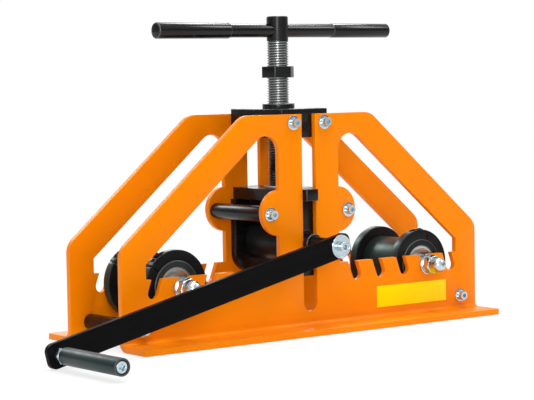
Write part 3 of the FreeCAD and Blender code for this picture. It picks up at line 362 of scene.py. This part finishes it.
def cap_screw_tree(material):
    """Geometry nodes that stand a knurled socket cap screw on every point of a mesh."""
    tree = bpy.data.node_groups.new("knurled cap screws", "GeometryNodeTree")
    tree.interface.new_socket("Geometry", in_out="INPUT", socket_type="NodeSocketGeometry")
    for name in ("Head Radius", "Head Height", "Shank Radius", "Shank Length",
                 "Socket Radius", "Socket Depth"):
        tree.interface.new_socket(name, in_out="INPUT", socket_type="NodeSocketFloat")
    tree.interface.new_socket("Corners", in_out="INPUT", socket_type="NodeSocketInt")
    tree.interface.new_socket("Geometry", in_out="OUTPUT", socket_type="NodeSocketGeometry")
    given = add(tree, "NodeGroupInput").outputs
    head = add(tree, "GeometryNodeMeshCylinder", {"Vertices": given["Corners"], "Side Segments": 6,
                                                  "Radius": given["Head Radius"],
                                                  "Depth": given["Head Height"]})
    index = add(tree, "GeometryNodeInputIndex").outputs[0]
    odd = add(tree, "ShaderNodeMath", {0: index, 1: 2.0}, operation="MODULO")
    place = add(tree, "GeometryNodeInputPosition").outputs[0]
    height = add(tree, "ShaderNodeSeparateXYZ", {"Vector": place}).outputs["Z"]
    rim_height = add(tree, "ShaderNodeMath", {0: given["Head Height"], 1: RIM_SHARE}, operation="MULTIPLY")
    top = add(tree, "ShaderNodeMath", {0: height, 1: rim_height.outputs[0]}, operation="GREATER_THAN")
    groove = add(tree, "ShaderNodeMath", {0: odd.outputs[0], 1: -KNURL_SHARE}, operation="MULTIPLY")
    chamfer = add(tree, "ShaderNodeMath", {0: top.outputs[0], 1: -CHAMFER_SHARE}, operation="MULTIPLY")
    inward = add(tree, "ShaderNodeMath", {0: groove.outputs[0], 1: chamfer.outputs[0]}, operation="ADD")
    flat_place = add(tree, "ShaderNodeVectorMath", {0: place, 1: (1, 1, 0)}, operation="MULTIPLY")
    shift = add(tree, "ShaderNodeVectorMath", {0: flat_place.outputs[0], "Scale": inward.outputs[0]},
                operation="SCALE")
    knurled = add(tree, "GeometryNodeSetPosition", {"Geometry": head.outputs["Mesh"],
                                                    "Offset": shift.outputs[0]})
    half_head = add(tree, "ShaderNodeMath", {0: given["Head Height"], 1: 2.0}, operation="DIVIDE")
    twice_depth = add(tree, "ShaderNodeMath", {0: given["Socket Depth"], 1: 2.0}, operation="MULTIPLY")
    hexagon = add(tree, "GeometryNodeMeshCylinder", {"Vertices": 6, "Radius": given["Socket Radius"],
                                                     "Depth": twice_depth.outputs[0]})
    raised = add(tree, "ShaderNodeCombineXYZ", {"Z": half_head.outputs[0]})
    cutter = add(tree, "GeometryNodeTransform", {"Geometry": hexagon.outputs["Mesh"],
                                                 "Translation": raised.outputs[0]})
    socketed = add(tree, "GeometryNodeMeshBoolean", {"Mesh 1": knurled.outputs[0],
                                                     "Mesh 2": cutter.outputs[0]}, operation="DIFFERENCE")
    shank = add(tree, "GeometryNodeMeshCylinder", {"Vertices": 32, "Radius": given["Shank Radius"],
                                                   "Depth": given["Shank Length"]})
    both_lengths = add(tree, "ShaderNodeMath", {0: given["Head Height"], 1: given["Shank Length"]},
                       operation="ADD")
    down = add(tree, "ShaderNodeMath", {0: both_lengths.outputs[0], 1: -0.5}, operation="MULTIPLY")
    lowered = add(tree, "ShaderNodeCombineXYZ", {"Z": down.outputs[0]})
    under = add(tree, "GeometryNodeTransform", {"Geometry": shank.outputs["Mesh"],
                                                "Translation": lowered.outputs[0]})
    screw = add(tree, "GeometryNodeJoinGeometry")
    tree.links.new(socketed.outputs[0], screw.inputs[0])
    tree.links.new(under.outputs[0], screw.inputs[0])
    seated = add(tree, "GeometryNodeTransform", {"Geometry": screw.outputs[0],
                                                 "Translation": raised.outputs[0]})
    outwards = add(tree, "GeometryNodeInputNamedAttribute", {"Name": "outwards"},
                   data_type="FLOAT_VECTOR")
    turn = add(tree, "FunctionNodeAlignRotationToVector", {"Vector": outwards.outputs[0]}, axis="Z")
    stood = add(tree, "GeometryNodeInstanceOnPoints", {"Points": given["Geometry"],
                                                       "Instance": seated.outputs[0],
                                                       "Rotation": turn.outputs[0]})
    real = add(tree, "GeometryNodeRealizeInstances", {"Geometry": stood.outputs[0]})
    finish = add(tree, "GeometryNodeSetMaterial", {"Geometry": real.outputs[0], "Material": material})
    add(tree, "NodeGroupOutput", {"Geometry": finish.outputs[0]})
    return tree


def grown(name, tree, values, points=(), outwards=()):
    """Runs a geometry tree on a mesh of points with its named inputs set, and keeps the plain result."""
    mesh = bpy.data.meshes.new(name)
    mesh.from_pydata(points, [], [])
    directions = mesh.attributes.new("outwards", "FLOAT_VECTOR", "POINT")
    for direction, entry in zip(outwards, directions.data):
        entry.vector = direction
    piece = bpy.data.objects.new(name, mesh)
    bpy.context.scene.collection.objects.link(piece)
    growth = piece.modifiers.new("growth", "NODES")
    growth.node_group = tree
    for item in tree.interface.items_tree:
        if item.in_out == "INPUT" and item.name in values:
            growth[item.identifier] = values[item.name]
    settle(piece)
    return piece


# The plates' twelve M8 screws, with straight-knurled heads.
KNURL_SHARE = 0.035      # depth of a knurl groove, as a share of the head's radius
CHAMFER_SHARE = 0.07
RIM_SHARE = 0.49         # only the rim of the head's top stands above this share of its height
M8_SCREW = {"Head Radius": 0.0065, "Head Height": 0.008, "Shank Radius": 0.004, "Shank Length": 0.030,
            "Socket Radius": 0.00346, "Socket Depth": 0.0044, "Corners": 64}
SCREW_SEAT = 0.068       # the outer face of the washers, from the middle of the machine
SCREW_PLACES = ((0.068, 0.1635), (0.279, 0.0262), (0.027, 0.2865))
spots = [(way * x, side * SCREW_SEAT, z) for side in (-1, 1) for way in (-1, 1) for x, z in SCREW_PLACES]
screws = grown("side_screws_knurled", cap_screw_tree(zinc), M8_SCREW, spots,
               [(0, math.copysign(1, y), 0) for x, y, z in spots])
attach(screws, "frame")
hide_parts("side_screws")


def lathed(name, profile, place, segments):
    """A closed solid of revolution along Y: profile holds (radius, y) points round its wall."""
    mesh = bpy.data.meshes.new(name)
    work = bmesh.new()
    rows = []
    for step in range(segments):
        angle = 2 * math.pi * step / segments
        rows.append([work.verts.new((place[0] + radius * math.cos(angle), y,
                                     place[2] + radius * math.sin(angle))) for radius, y in profile])
    for step, row in enumerate(rows):
        after = rows[(step + 1) % segments]
        for index in range(len(profile)):
            following = (index + 1) % len(profile)
            work.faces.new((row[index], row[following], after[following], after[index]))
    bmesh.ops.remove_doubles(work, verts=work.verts, dist=MERGE_DISTANCE)
    bmesh.ops.recalc_face_normals(work, faces=work.faces)
    work.to_mesh(mesh)
    work.free()
    piece = bpy.data.objects.new(name, mesh)
    bpy.context.scene.collection.objects.link(piece)
    mesh.shade_smooth()
    mesh.set_sharp_from_angle(angle=math.radians(SHARP_DEGREES))
    return piece


# The crank's big washer is turned with a raised rim.
WASHER_RIM_WIDTH = 0.0016
WASHER_RIM_HEIGHT = 0.0006
WASHER_CHAMFER = 0.0004
WASHER_BORE = 0.0045
ROUND_FACES = 96         # faces round a turned piece
low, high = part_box("crank_washer")
outer = (high[0] - low[0]) / 2
rim_in = outer - WASHER_RIM_WIDTH
front, back = low[1], high[1]
rim_top = front - WASHER_RIM_HEIGHT
washer = lathed("crank_washer_turned",
                [(WASHER_BORE, back), (WASHER_BORE, front), (rim_in - WASHER_RIM_HEIGHT, front),
                 (rim_in, rim_top), (outer - WASHER_CHAMFER, rim_top), (outer, rim_top + WASHER_CHAMFER),
                 (outer, back)], (0, 0, (low[2] + high[2]) / 2), ROUND_FACES)
washer.data.materials.append(zinc)
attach(washer, "crank")
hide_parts("crank_washer")


# ==== Spindle ==================================================================================
# One steel screw with a flat-topped 3.5 mm thread, cut on a lathe and left bare with grease low
# down; its plain head is black, and the cross bar goes through a hole bored in it.

THREAD_PITCH = 0.0035
THREAD_DEPTH = 0.0019
THREAD_CREST = 0.0010
THREAD_ROOT = 0.0005
THREAD_STEPS = 48        # faces round one turn
CORE_FACES = 64          # faces round the core and round the bar's hole
CORE_GAP = 0.0001        # how far the core stays below the thread's root
CORE_LAP = 0.001         # how far the core runs up into the head
BAR_GAP = 0.00015        # play of the cross bar in its hole
PLAIN_HEAD = 0.0341
JOURNAL_RADIUS = 0.010
BAR_RADIUS = 0.0095
BAR_BELOW_TOP = 0.0197
HEAD_CHAMFER = 0.0012
OUTLINE_POINTS = 5       # crest start, crest end, root start, root end and the next crest
WIND_MERGE = 0.00002     # joins the strip's edges from one turn to the next

low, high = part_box("spindle_screw")
spindle_radius = (high[0] - low[0]) / 2
journal_end, spindle_top = low[2], high[2]
thread_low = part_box("spindle_thrust_washer")[1][2]
thread_high = spindle_top - PLAIN_HEAD


def thread_tree(material):
    """Geometry nodes that wind a thread's outline round the Z axis as one long strip."""
    tree = bpy.data.node_groups.new("wound thread", "GeometryNodeTree")
    for name in ("Pitch", "Depth", "Crest", "Root", "Radius", "Low", "High"):
        tree.interface.new_socket(name, in_out="INPUT", socket_type="NodeSocketFloat")
    for name in ("Steps", "Turns"):
        tree.interface.new_socket(name, in_out="INPUT", socket_type="NodeSocketInt")
    tree.interface.new_socket("Geometry", in_out="OUTPUT", socket_type="NodeSocketGeometry")
    given = add(tree, "NodeGroupInput").outputs
    columns = add(tree, "ShaderNodeMath", {0: given["Steps"], 1: given["Turns"]}, operation="MULTIPLY")
    strip = add(tree, "GeometryNodeMeshGrid", {"Vertices X": columns.outputs[0],
                                               "Vertices Y": OUTLINE_POINTS, "Size X": 1.0, "Size Y": 1.0})
    index = add(tree, "GeometryNodeInputIndex").outputs[0]
    row = add(tree, "ShaderNodeMath", {0: index, 1: OUTLINE_POINTS}, operation="MODULO").outputs[0]
    share = add(tree, "ShaderNodeMath", {0: index, 1: OUTLINE_POINTS}, operation="DIVIDE")
    column = add(tree, "ShaderNodeMath", {0: share.outputs[0]}, operation="FLOOR")
    turns = add(tree, "ShaderNodeMath", {0: column.outputs[0], 1: given["Steps"]},
                operation="DIVIDE").outputs[0]
    angle = add(tree, "ShaderNodeMath", {0: turns, 1: 2 * math.pi}, operation="MULTIPLY").outputs[0]
    both_flats = add(tree, "ShaderNodeMath", {0: given["Crest"], 1: given["Root"]}, operation="ADD")
    flanks = add(tree, "ShaderNodeMath", {0: given["Pitch"], 1: both_flats.outputs[0]},
                 operation="SUBTRACT")
    flank = add(tree, "ShaderNodeMath", {0: flanks.outputs[0], 1: 2.0}, operation="DIVIDE")
    root_start = add(tree, "ShaderNodeMath", {0: given["Crest"], 1: flank.outputs[0]}, operation="ADD")
    root_end = add(tree, "ShaderNodeMath", {0: root_start.outputs[0], 1: given["Root"]}, operation="ADD")
    root_radius = add(tree, "ShaderNodeMath", {0: given["Radius"], 1: given["Depth"]}, operation="SUBTRACT")
    rise = add(tree, "GeometryNodeIndexSwitch", data_type="FLOAT")
    reach_out = add(tree, "GeometryNodeIndexSwitch", data_type="FLOAT")
    outline = ((0.0, given["Radius"]), (given["Crest"], given["Radius"]),
               (root_start.outputs[0], root_radius.outputs[0]),
               (root_end.outputs[0], root_radius.outputs[0]), (given["Pitch"], given["Radius"]))
    for switch, part in ((rise, 0), (reach_out, 1)):
        while len(switch.index_switch_items) < len(outline):
            switch.index_switch_items.new()
        tree.links.new(row, switch.inputs[0])
        for place, point in enumerate(outline):
            if isinstance(point[part], float):
                switch.inputs[place + 1].default_value = point[part]
            else:
                tree.links.new(point[part], switch.inputs[place + 1])
    climb = add(tree, "ShaderNodeMath", {0: turns, 1: given["Pitch"]}, operation="MULTIPLY")
    start = add(tree, "ShaderNodeMath", {0: given["Low"], 1: given["Pitch"]}, operation="SUBTRACT")
    level = add(tree, "ShaderNodeMath", {0: climb.outputs[0], 1: start.outputs[0]}, operation="ADD")
    height = add(tree, "ShaderNodeMath", {0: level.outputs[0], 1: rise.outputs[0]}, operation="ADD")
    kept = add(tree, "ShaderNodeClamp", {"Value": height.outputs[0], "Min": given["Low"],
                                         "Max": given["High"]})
    cosine = add(tree, "ShaderNodeMath", {0: angle}, operation="COSINE")
    sine = add(tree, "ShaderNodeMath", {0: angle}, operation="SINE")
    x = add(tree, "ShaderNodeMath", {0: cosine.outputs[0], 1: reach_out.outputs[0]}, operation="MULTIPLY")
    y = add(tree, "ShaderNodeMath", {0: sine.outputs[0], 1: reach_out.outputs[0]}, operation="MULTIPLY")
    point = add(tree, "ShaderNodeCombineXYZ", {"X": x.outputs[0], "Y": y.outputs[0], "Z": kept.outputs[0]})
    wound = add(tree, "GeometryNodeSetPosition", {"Geometry": strip.outputs["Mesh"],
                                                  "Position": point.outputs[0]})
    whole = add(tree, "GeometryNodeMergeByDistance", {"Geometry": wound.outputs[0], "Distance": WIND_MERGE})
    real = add(tree, "GeometryNodeRealizeInstances", {"Geometry": whole.outputs[0]})
    finish = add(tree, "GeometryNodeSetMaterial", {"Geometry": real.outputs[0], "Material": material})
    add(tree, "NodeGroupOutput", {"Geometry": finish.outputs[0]})
    return tree


def thread_steel():
    """Lathe-cut steel: grey with bright crests; grease darkens the roots and the low turns."""
    material, tree = finish_material("lathe-cut thread steel with grease")
    place = add(tree, "ShaderNodeTexCoord").outputs["Object"]
    apart = add(tree, "ShaderNodeSeparateXYZ", {"Vector": place})
    cloud = add(tree, "ShaderNodeTexNoise", {"Vector": place, "Scale": 1 / CLOUD_SIZE, "Detail": 5.0})
    low_turns = add(tree, "ShaderNodeMapRange", {"Value": apart.outputs["Z"], "From Min": GREASE_TOP,
                                                 "From Max": GREASE_BOTTOM, "To Max": GREASE_LOW})
    square_x = add(tree, "ShaderNodeMath", {0: apart.outputs["X"], 1: 2.0}, operation="POWER")
    square_y = add(tree, "ShaderNodeMath", {0: apart.outputs["Y"], 1: 2.0}, operation="POWER")
    both = add(tree, "ShaderNodeMath", {0: square_x.outputs[0], 1: square_y.outputs[0]}, operation="ADD")
    radius = add(tree, "ShaderNodeMath", {0: both.outputs[0]}, operation="SQRT")
    in_root = add(tree, "ShaderNodeMapRange", {"Value": radius.outputs[0],
                                               "From Min": spindle_radius - CREST_CLEAN,
                                               "From Max": spindle_radius - THREAD_DEPTH})
    smeared = add(tree, "ShaderNodeMath", {0: low_turns.outputs[0], 1: cloud.outputs["Fac"]},
                  operation="MULTIPLY")
    in_roots = add(tree, "ShaderNodeMath", {0: in_root.outputs[0], 1: GREASE_ROOT}, operation="MULTIPLY")
    grease = add(tree, "ShaderNodeMath", {0: smeared.outputs[0], 1: in_roots.outputs[0]}, operation="ADD",
                 use_clamp=True)
    shade = add(tree, "ShaderNodeMix", {"Factor": grease.outputs[0], 6: linear("A3A6A6"),
                                        7: linear("2A2724")}, data_type="RGBA")
    gloss = add(tree, "ShaderNodeMapRange", {"Value": cloud.outputs["Fac"],
                                             "From Min": NOISE_LOW, "From Max": NOISE_HIGH,
                                             "To Min": THREAD_SMOOTH, "To Max": THREAD_ROUGH})
    skin = add(tree, "ShaderNodeBsdfPrincipled", {"Base Color": shade.outputs[2], "Metallic": 1.0,
                                                  "Roughness": gloss.outputs[0]})
    add(tree, "ShaderNodeOutputMaterial", {"Surface": skin.outputs[0]})
    return material


GREASE_TOP = 0.300
GREASE_BOTTOM = 0.225
GREASE_LOW = 1.8         # how much of it lies on the lowest turns, over 1 where it covers them
GREASE_ROOT = 0.55       # and how much in every root
CREST_CLEAN = 0.0002
THREAD_SMOOTH = 0.22
THREAD_ROUGH = 0.36
cut_steel = thread_steel()
whole_turns = math.ceil((thread_high - thread_low) / THREAD_PITCH) + 2
thread = grown("spindle_thread", thread_tree(cut_steel),
               {"Pitch": THREAD_PITCH, "Depth": THREAD_DEPTH, "Crest": THREAD_CREST, "Root": THREAD_ROOT,
                "Radius": spindle_radius, "Low": thread_low, "High": thread_high,
                "Steps": THREAD_STEPS, "Turns": whole_turns})
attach(thread, "spindle")


def upright(name, profile, segments):
    """A closed solid of revolution about the Z axis, from (radius, height) points."""
    piece = lathed(name, profile, (0, 0, 0), segments)
    piece.data.transform(Matrix.Rotation(math.pi / 2, 4, "X"))
    return piece


def drilled(piece, radius, height, reach):
    """Bores the cross bar's hole through the head, along X, with a boolean cut."""
    cutter = bpy.data.objects.new("bar_hole_cutter", bpy.data.meshes.new("bar_hole_cutter"))
    bpy.context.scene.collection.objects.link(cutter)
    work = bmesh.new()
    along_x = Matrix.Translation((0, 0, height)) @ Matrix.Rotation(math.pi / 2, 4, "Y")
    bmesh.ops.create_cone(work, cap_ends=True, segments=CORE_FACES, radius1=radius, radius2=radius,
                          depth=2 * reach, matrix=along_x)
    work.to_mesh(cutter.data)
    work.free()
    cut = piece.modifiers.new("bar hole", "BOOLEAN")
    cut.object = cutter
    cut.solver = "EXACT"
    settle(piece)
    bpy.data.objects.remove(cutter)


head = upright("spindle_head", [(0, thread_high), (spindle_radius, thread_high),
                                (spindle_radius, spindle_top - HEAD_CHAMFER),
                                (spindle_radius - HEAD_CHAMFER, spindle_top), (0, spindle_top)],
               ROUND_FACES)
drilled(head, BAR_RADIUS + BAR_GAP, spindle_top - BAR_BELOW_TOP, 2 * spindle_radius)
head.data.materials.append(oxide)
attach(head, "spindle")
core_radius = spindle_radius - THREAD_DEPTH - CORE_GAP
core_top = thread_high + CORE_LAP
core = upright("spindle_core", [(0, journal_end), (JOURNAL_RADIUS, journal_end),
                                (JOURNAL_RADIUS, thread_low), (core_radius, thread_low),
                                (core_radius, core_top), (0, core_top)], CORE_FACES)
core.data.materials.append(cut_steel)
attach(core, "spindle")
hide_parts("spindle_screw")


# ==== Cross bar, its sleeves and the lock nut ==================================================
# A drawn round bar with two sleeves, and a sawn hexagon nut, all oiled black oxide on a smoother
# surface than the milled pieces, so that lamps show in them as long bright streaks.

# Oxide on drawn bar: deep black with sharp, bright streaks along its length.
bar_oxide = black_oxide("black oxide on drawn bar", linear("090909"), linear("0F0F10"), 0.15, 0.20, 0.3)
# Oxide on a sawn and faced nut: softer than the bar, with no streaks.
nut_oxide = black_oxide("black oxide on sawn hexagon", linear("0C0C0D"), linear("131314"), 0.26, 0.36, 0.2)
BAR_EDGE = 0.0004
softened("cross_bar", "spindle", bar_oxide, rubbed_and_highlit, BAR_EDGE)
softened("bar_sleeves", "spindle", bar_oxide, rubbed_and_highlit, BAR_EDGE)
softened("lock_nut", "lock_nut", nut_oxide, rubbed_and_highlit, BAR_EDGE)


# ==== Crank ====================================================================================
# The arm is flat bar with its corners ground round; collars and the centre roller are turned.
# All are black oxide, the arm the dullest of them.

# Oxide on rolled flat bar: dull black that hardly shines face on.
arm_oxide = black_oxide("black oxide on flat bar", linear("060607"), linear("0A0A0B"), 0.34, 0.46, 0.06)
ARM_EDGE = 0.0004
softened("crank_arm", "crank", arm_oxide, rubbed_and_highlit, ARM_EDGE)
softened("drive_shaft", "crank", oxide, rubbed_and_highlit, ARM_EDGE)
softened("shaft_collars", "crank", oxide, rubbed_and_highlit, ARM_EDGE)
softened("collar_set_screws", "crank", oxide, rubbed_and_highlit, ARM_EDGE / 2)
low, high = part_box("centre_roller")
# The centre roller's ends show the same lathe arcs as the rings, a shade darker.
roller_oxide = turned_oxide("turned black oxide centre roller", (0, (low[2] + high[2]) / 2),
                            linear("101112"), linear("232526"), 0.12)
softened("centre_roller", "crank", roller_oxide, rubbed_and_highlit, ARM_EDGE)


# ==== Grip =====================================================================================
# A sleeve of black acetal turned from rod, which spins on the grip's screw.  It is satin, with
# a faint cool sheen along its top, and its mouth is a little paler where it has been faced.

# Turned acetal: soft grey-green sheen over black, without mirror reflections.
acetal = black_oxide("turned black acetal", linear("182022"), linear("12191B"), 0.34, 0.42, 0.45, OIL_SHEEN)
acetal_edge = black_oxide("faced acetal edge", linear("3A4042"), linear("303638"), 0.38, 0.46, 0.6)
GRIP_EDGE = 0.0007
softened("grip_sleeve", "grip", acetal, acetal_edge, GRIP_EDGE)


# ==== Label ====================================================================================
# A blank plate of yellow film stuck on the front web, with no print.  The film is glossy, a
# touch uneven where the glue under it is thick and thin, and its cut edge is rounded over.

def label_film():
    """Glossy yellow vinyl over glue ripples about 12 mm long."""
    material, tree = finish_material("yellow vinyl film")
    place = add(tree, "ShaderNodeTexCoord").outputs["Object"]
    ripple = add(tree, "ShaderNodeTexNoise", {"Vector": place, "Scale": 1 / GLUE_RIPPLE, "Detail": 3.0})
    shade = add(tree, "ShaderNodeMix", {"Factor": ripple.outputs["Fac"], 6: linear("FFE200"),
                                        7: linear("FBD800")}, data_type="RGBA")
    gloss = add(tree, "ShaderNodeMapRange", {"Value": ripple.outputs["Fac"],
                                             "To Min": FILM_GLOSSY, "To Max": FILM_DULL})
    bump = add(tree, "ShaderNodeBump", {"Height": ripple.outputs["Fac"], "Strength": 0.1,
                                        "Distance": GLUE_DEPTH})
    skin = add(tree, "ShaderNodeBsdfPrincipled", {"Base Color": shade.outputs[2],
                                                  "Roughness": gloss.outputs[0],
                                                  "Normal": bump.outputs[0], "Specular IOR Level": 0.3,
                                                  "Specular Tint": linear("FFD400")})
    add(tree, "ShaderNodeOutputMaterial", {"Surface": skin.outputs[0]})
    return material


GLUE_RIPPLE = 0.012
GLUE_DEPTH = 0.0002
FILM_GLOSSY = 0.2
FILM_DULL = 0.3
FILM_EDGE = 0.00015
# Yellow vinyl: a bright, nearly even yellow with a soft gleam.
film = label_film()
softened("label_plate", "frame", film, film, FILM_EDGE)


# ==== Floor, light and camera ==================================================================
# A plain pale sweep that fades to white, broad lamps above, behind and one low in front, and a
# room that is white before, behind and overhead and dimmer to the sides, which metal shows.

WHITE = (1, 1, 1, 1)
FLOOR_REACH = 30.0
FLOOR_DROP = 0.0002      # keeps the floor and the soles of the feet apart
FADE_START = 0.45        # the floor turns from pale to white between these distances
FADE_END = 1.6
FLOOR_PALE = 0.72
floor_mesh = bpy.data.meshes.new("floor")
floor_mesh.from_pydata([(way * FLOOR_REACH, side * FLOOR_REACH, 0)
                        for way, side in ((-1, -1), (1, -1), (1, 1), (-1, 1))], [], [(0, 1, 2, 3)])
floor = bpy.data.objects.new("floor", floor_mesh)
bpy.context.scene.collection.objects.link(floor)
floor.location.z = cad_low.z - FLOOR_DROP
# Pale studio floor: matt, so that it keeps the shadow, and white itself where it is far off.
sweep, tree = finish_material("pale studio floor")
place = add(tree, "ShaderNodeTexCoord").outputs["Object"]
distance = add(tree, "ShaderNodeVectorMath", {0: place}, operation="LENGTH")
fade = add(tree, "ShaderNodeMapRange", {"Value": distance.outputs["Value"],
                                        "From Min": FADE_START, "From Max": FADE_END,
                                        "To Min": FLOOR_PALE, "To Max": 1.0},
           interpolation_type="SMOOTHSTEP")
rays = add(tree, "ShaderNodeLightPath")
seen = add(tree, "ShaderNodeMath", {0: rays.outputs["Is Camera Ray"], 1: rays.outputs["Is Glossy Ray"]},
           operation="MAXIMUM")
glow_share = add(tree, "ShaderNodeMath", {0: fade.outputs[0], 1: seen.outputs[0]}, operation="MULTIPLY")
matt = add(tree, "ShaderNodeBsdfDiffuse", {"Color": linear("F4F4F4")})
white = add(tree, "ShaderNodeEmission", {"Color": WHITE, "Strength": 1.0})
both = add(tree, "ShaderNodeMixShader", {0: glow_share.outputs[0], 1: matt.outputs[0], 2: white.outputs[0]})
add(tree, "ShaderNodeOutputMaterial", {"Surface": both.outputs[0]})
floor_mesh.materials.append(sweep)

# The room gives plain even light, and what metal and the camera see of it is drawn apart.
ROOM_STRENGTH = 0.41
CEILING = {"From Min": 0.12, "From Max": 0.5, "To Min": 1.0, "To Max": 0.75}    # dims upwards
WALLS = {"From Min": 0.35, "From Max": 0.92, "To Min": 0.22, "To Max": 1.0}     # dim at the sides
WALL_TOP = {"From Min": 0.2, "From Max": 0.45, "To Min": 0.0, "To Max": 1.0}    # where walls end
ROOM_FRONT = (0.61, 0.79, 0.0)
world = bpy.data.worlds.new("studio")
bpy.context.scene.world = world
world.use_nodes = True
tree = world.node_tree
tree.nodes.clear()
towards = add(tree, "ShaderNodeTexCoord").outputs["Generated"]
upness = add(tree, "ShaderNodeSeparateXYZ", {"Vector": towards}).outputs["Z"]
ceiling = add(tree, "ShaderNodeMapRange", {"Value": upness, **CEILING}, interpolation_type="SMOOTHSTEP")
along = add(tree, "ShaderNodeVectorMath", {0: towards, 1: ROOM_FRONT}, operation="DOT_PRODUCT")
ends = add(tree, "ShaderNodeMath", {0: along.outputs["Value"]}, operation="ABSOLUTE")
walls = add(tree, "ShaderNodeMapRange", {"Value": ends.outputs[0], **WALLS},
            interpolation_type="SMOOTHSTEP")
rays = add(tree, "ShaderNodeLightPath")
shown = add(tree, "ShaderNodeMath", {0: rays.outputs["Is Camera Ray"],
                                     1: rays.outputs["Is Transmission Ray"]}, operation="MAXIMUM")
seen = add(tree, "ShaderNodeMath", {0: shown.outputs[0], 1: rays.outputs["Is Glossy Ray"]},
           operation="MAXIMUM")
height = add(tree, "ShaderNodeMapRange", {"Value": upness, **WALL_TOP}, interpolation_type="SMOOTHSTEP")
unwalled = add(tree, "ShaderNodeMath", {0: shown.outputs[0], 1: height.outputs[0]}, operation="MAXIMUM")
side_share = add(tree, "ShaderNodeMix", {0: unwalled.outputs[0], 2: walls.outputs[0], 3: 1.0},
                 data_type="FLOAT")
glow = add(tree, "ShaderNodeMath", {0: ceiling.outputs[0], 1: side_share.outputs[0]}, operation="MULTIPLY")
room_light = add(tree, "ShaderNodeBackground", {"Color": linear("FAFBFC"), "Strength": ROOM_STRENGTH})
backdrop = add(tree, "ShaderNodeBackground", {"Color": WHITE, "Strength": glow.outputs[0]})
both = add(tree, "ShaderNodeMixShader", {0: seen.outputs[0], 1: room_light.outputs[0],
                                         2: backdrop.outputs[0]})
add(tree, "ShaderNodeOutputWorld", {"Surface": both.outputs[0]})


def soft_lamp(name, place, size, power):
    """A square lamp that faces the middle of the machine: its size in metres, its power in watts."""
    lamp = bpy.data.lights.new(name, "AREA")
    lamp.shape = "SQUARE"
    lamp.size = size
    lamp.energy = power
    holder = bpy.data.objects.new(name, lamp)
    bpy.context.scene.collection.objects.link(holder)
    holder.location = place
    holder.rotation_mode = "QUATERNION"
    holder.rotation_quaternion = (LAMP_TARGET - Vector(place)).to_track_quat("-Z", "Y")


LAMP_TARGET = Vector((0, 0, 0.15))
soft_lamp("lamp_above_left", (-1.4, -1.2, 2.4), 1.1, 17)
soft_lamp("lamp_above_right", (1.75, -0.95, 2.05), 0.8, 14)
soft_lamp("lamp_behind", (-0.4, 2.6, 1.9), 0.9, 20)
soft_lamp("lamp_behind_right", (1.35, 2.35, 1.1), 1.0, 8)
soft_lamp("lamp_front", (-1.85, -2.3, 0.75), 0.9, 24)
soft_lamp("lamp_overhead", (0.1, -0.4, 2.8), 1.2, 34)
soft_lamp("lamp_right_top", (1.5, 0.9, 2.5), 0.8, 30)

# The camera stands about 2.7 m off and 0.36 m above the bench, behind a long lens.
VIEW_AZIMUTH = math.radians(37.562)
VIEW_PITCH = math.radians(3.726)
VIEW_ROLL = math.radians(-0.902)
VIEW_PLACE = (-1.67842, -2.15296, 0.35528)
LENS_LENGTH = 132.07
SENSOR_WIDTH = 36.0
ahead = Vector((math.sin(VIEW_AZIMUTH) * math.cos(VIEW_PITCH), math.cos(VIEW_AZIMUTH) * math.cos(VIEW_PITCH),
                -math.sin(VIEW_PITCH)))
level = Vector((math.cos(VIEW_AZIMUTH), -math.sin(VIEW_AZIMUTH), 0))
upward = level.cross(ahead)
across = level * math.cos(VIEW_ROLL) + upward * math.sin(VIEW_ROLL)
above = upward * math.cos(VIEW_ROLL) - level * math.sin(VIEW_ROLL)
camera = bpy.data.objects.new("camera", bpy.data.cameras.new("camera"))
bpy.context.scene.collection.objects.link(camera)
camera.matrix_world = Matrix.Translation(VIEW_PLACE) @ Matrix((across, above, -ahead)).transposed().to_4x4()
camera.data.sensor_width = SENSOR_WIDTH
camera.data.lens = LENS_LENGTH
camera.data.clip_start = 0.1
camera.data.clip_end = 200.0
bpy.context.scene.camera = camera
bpy.context.scene.view_settings.view_transform = "Standard"
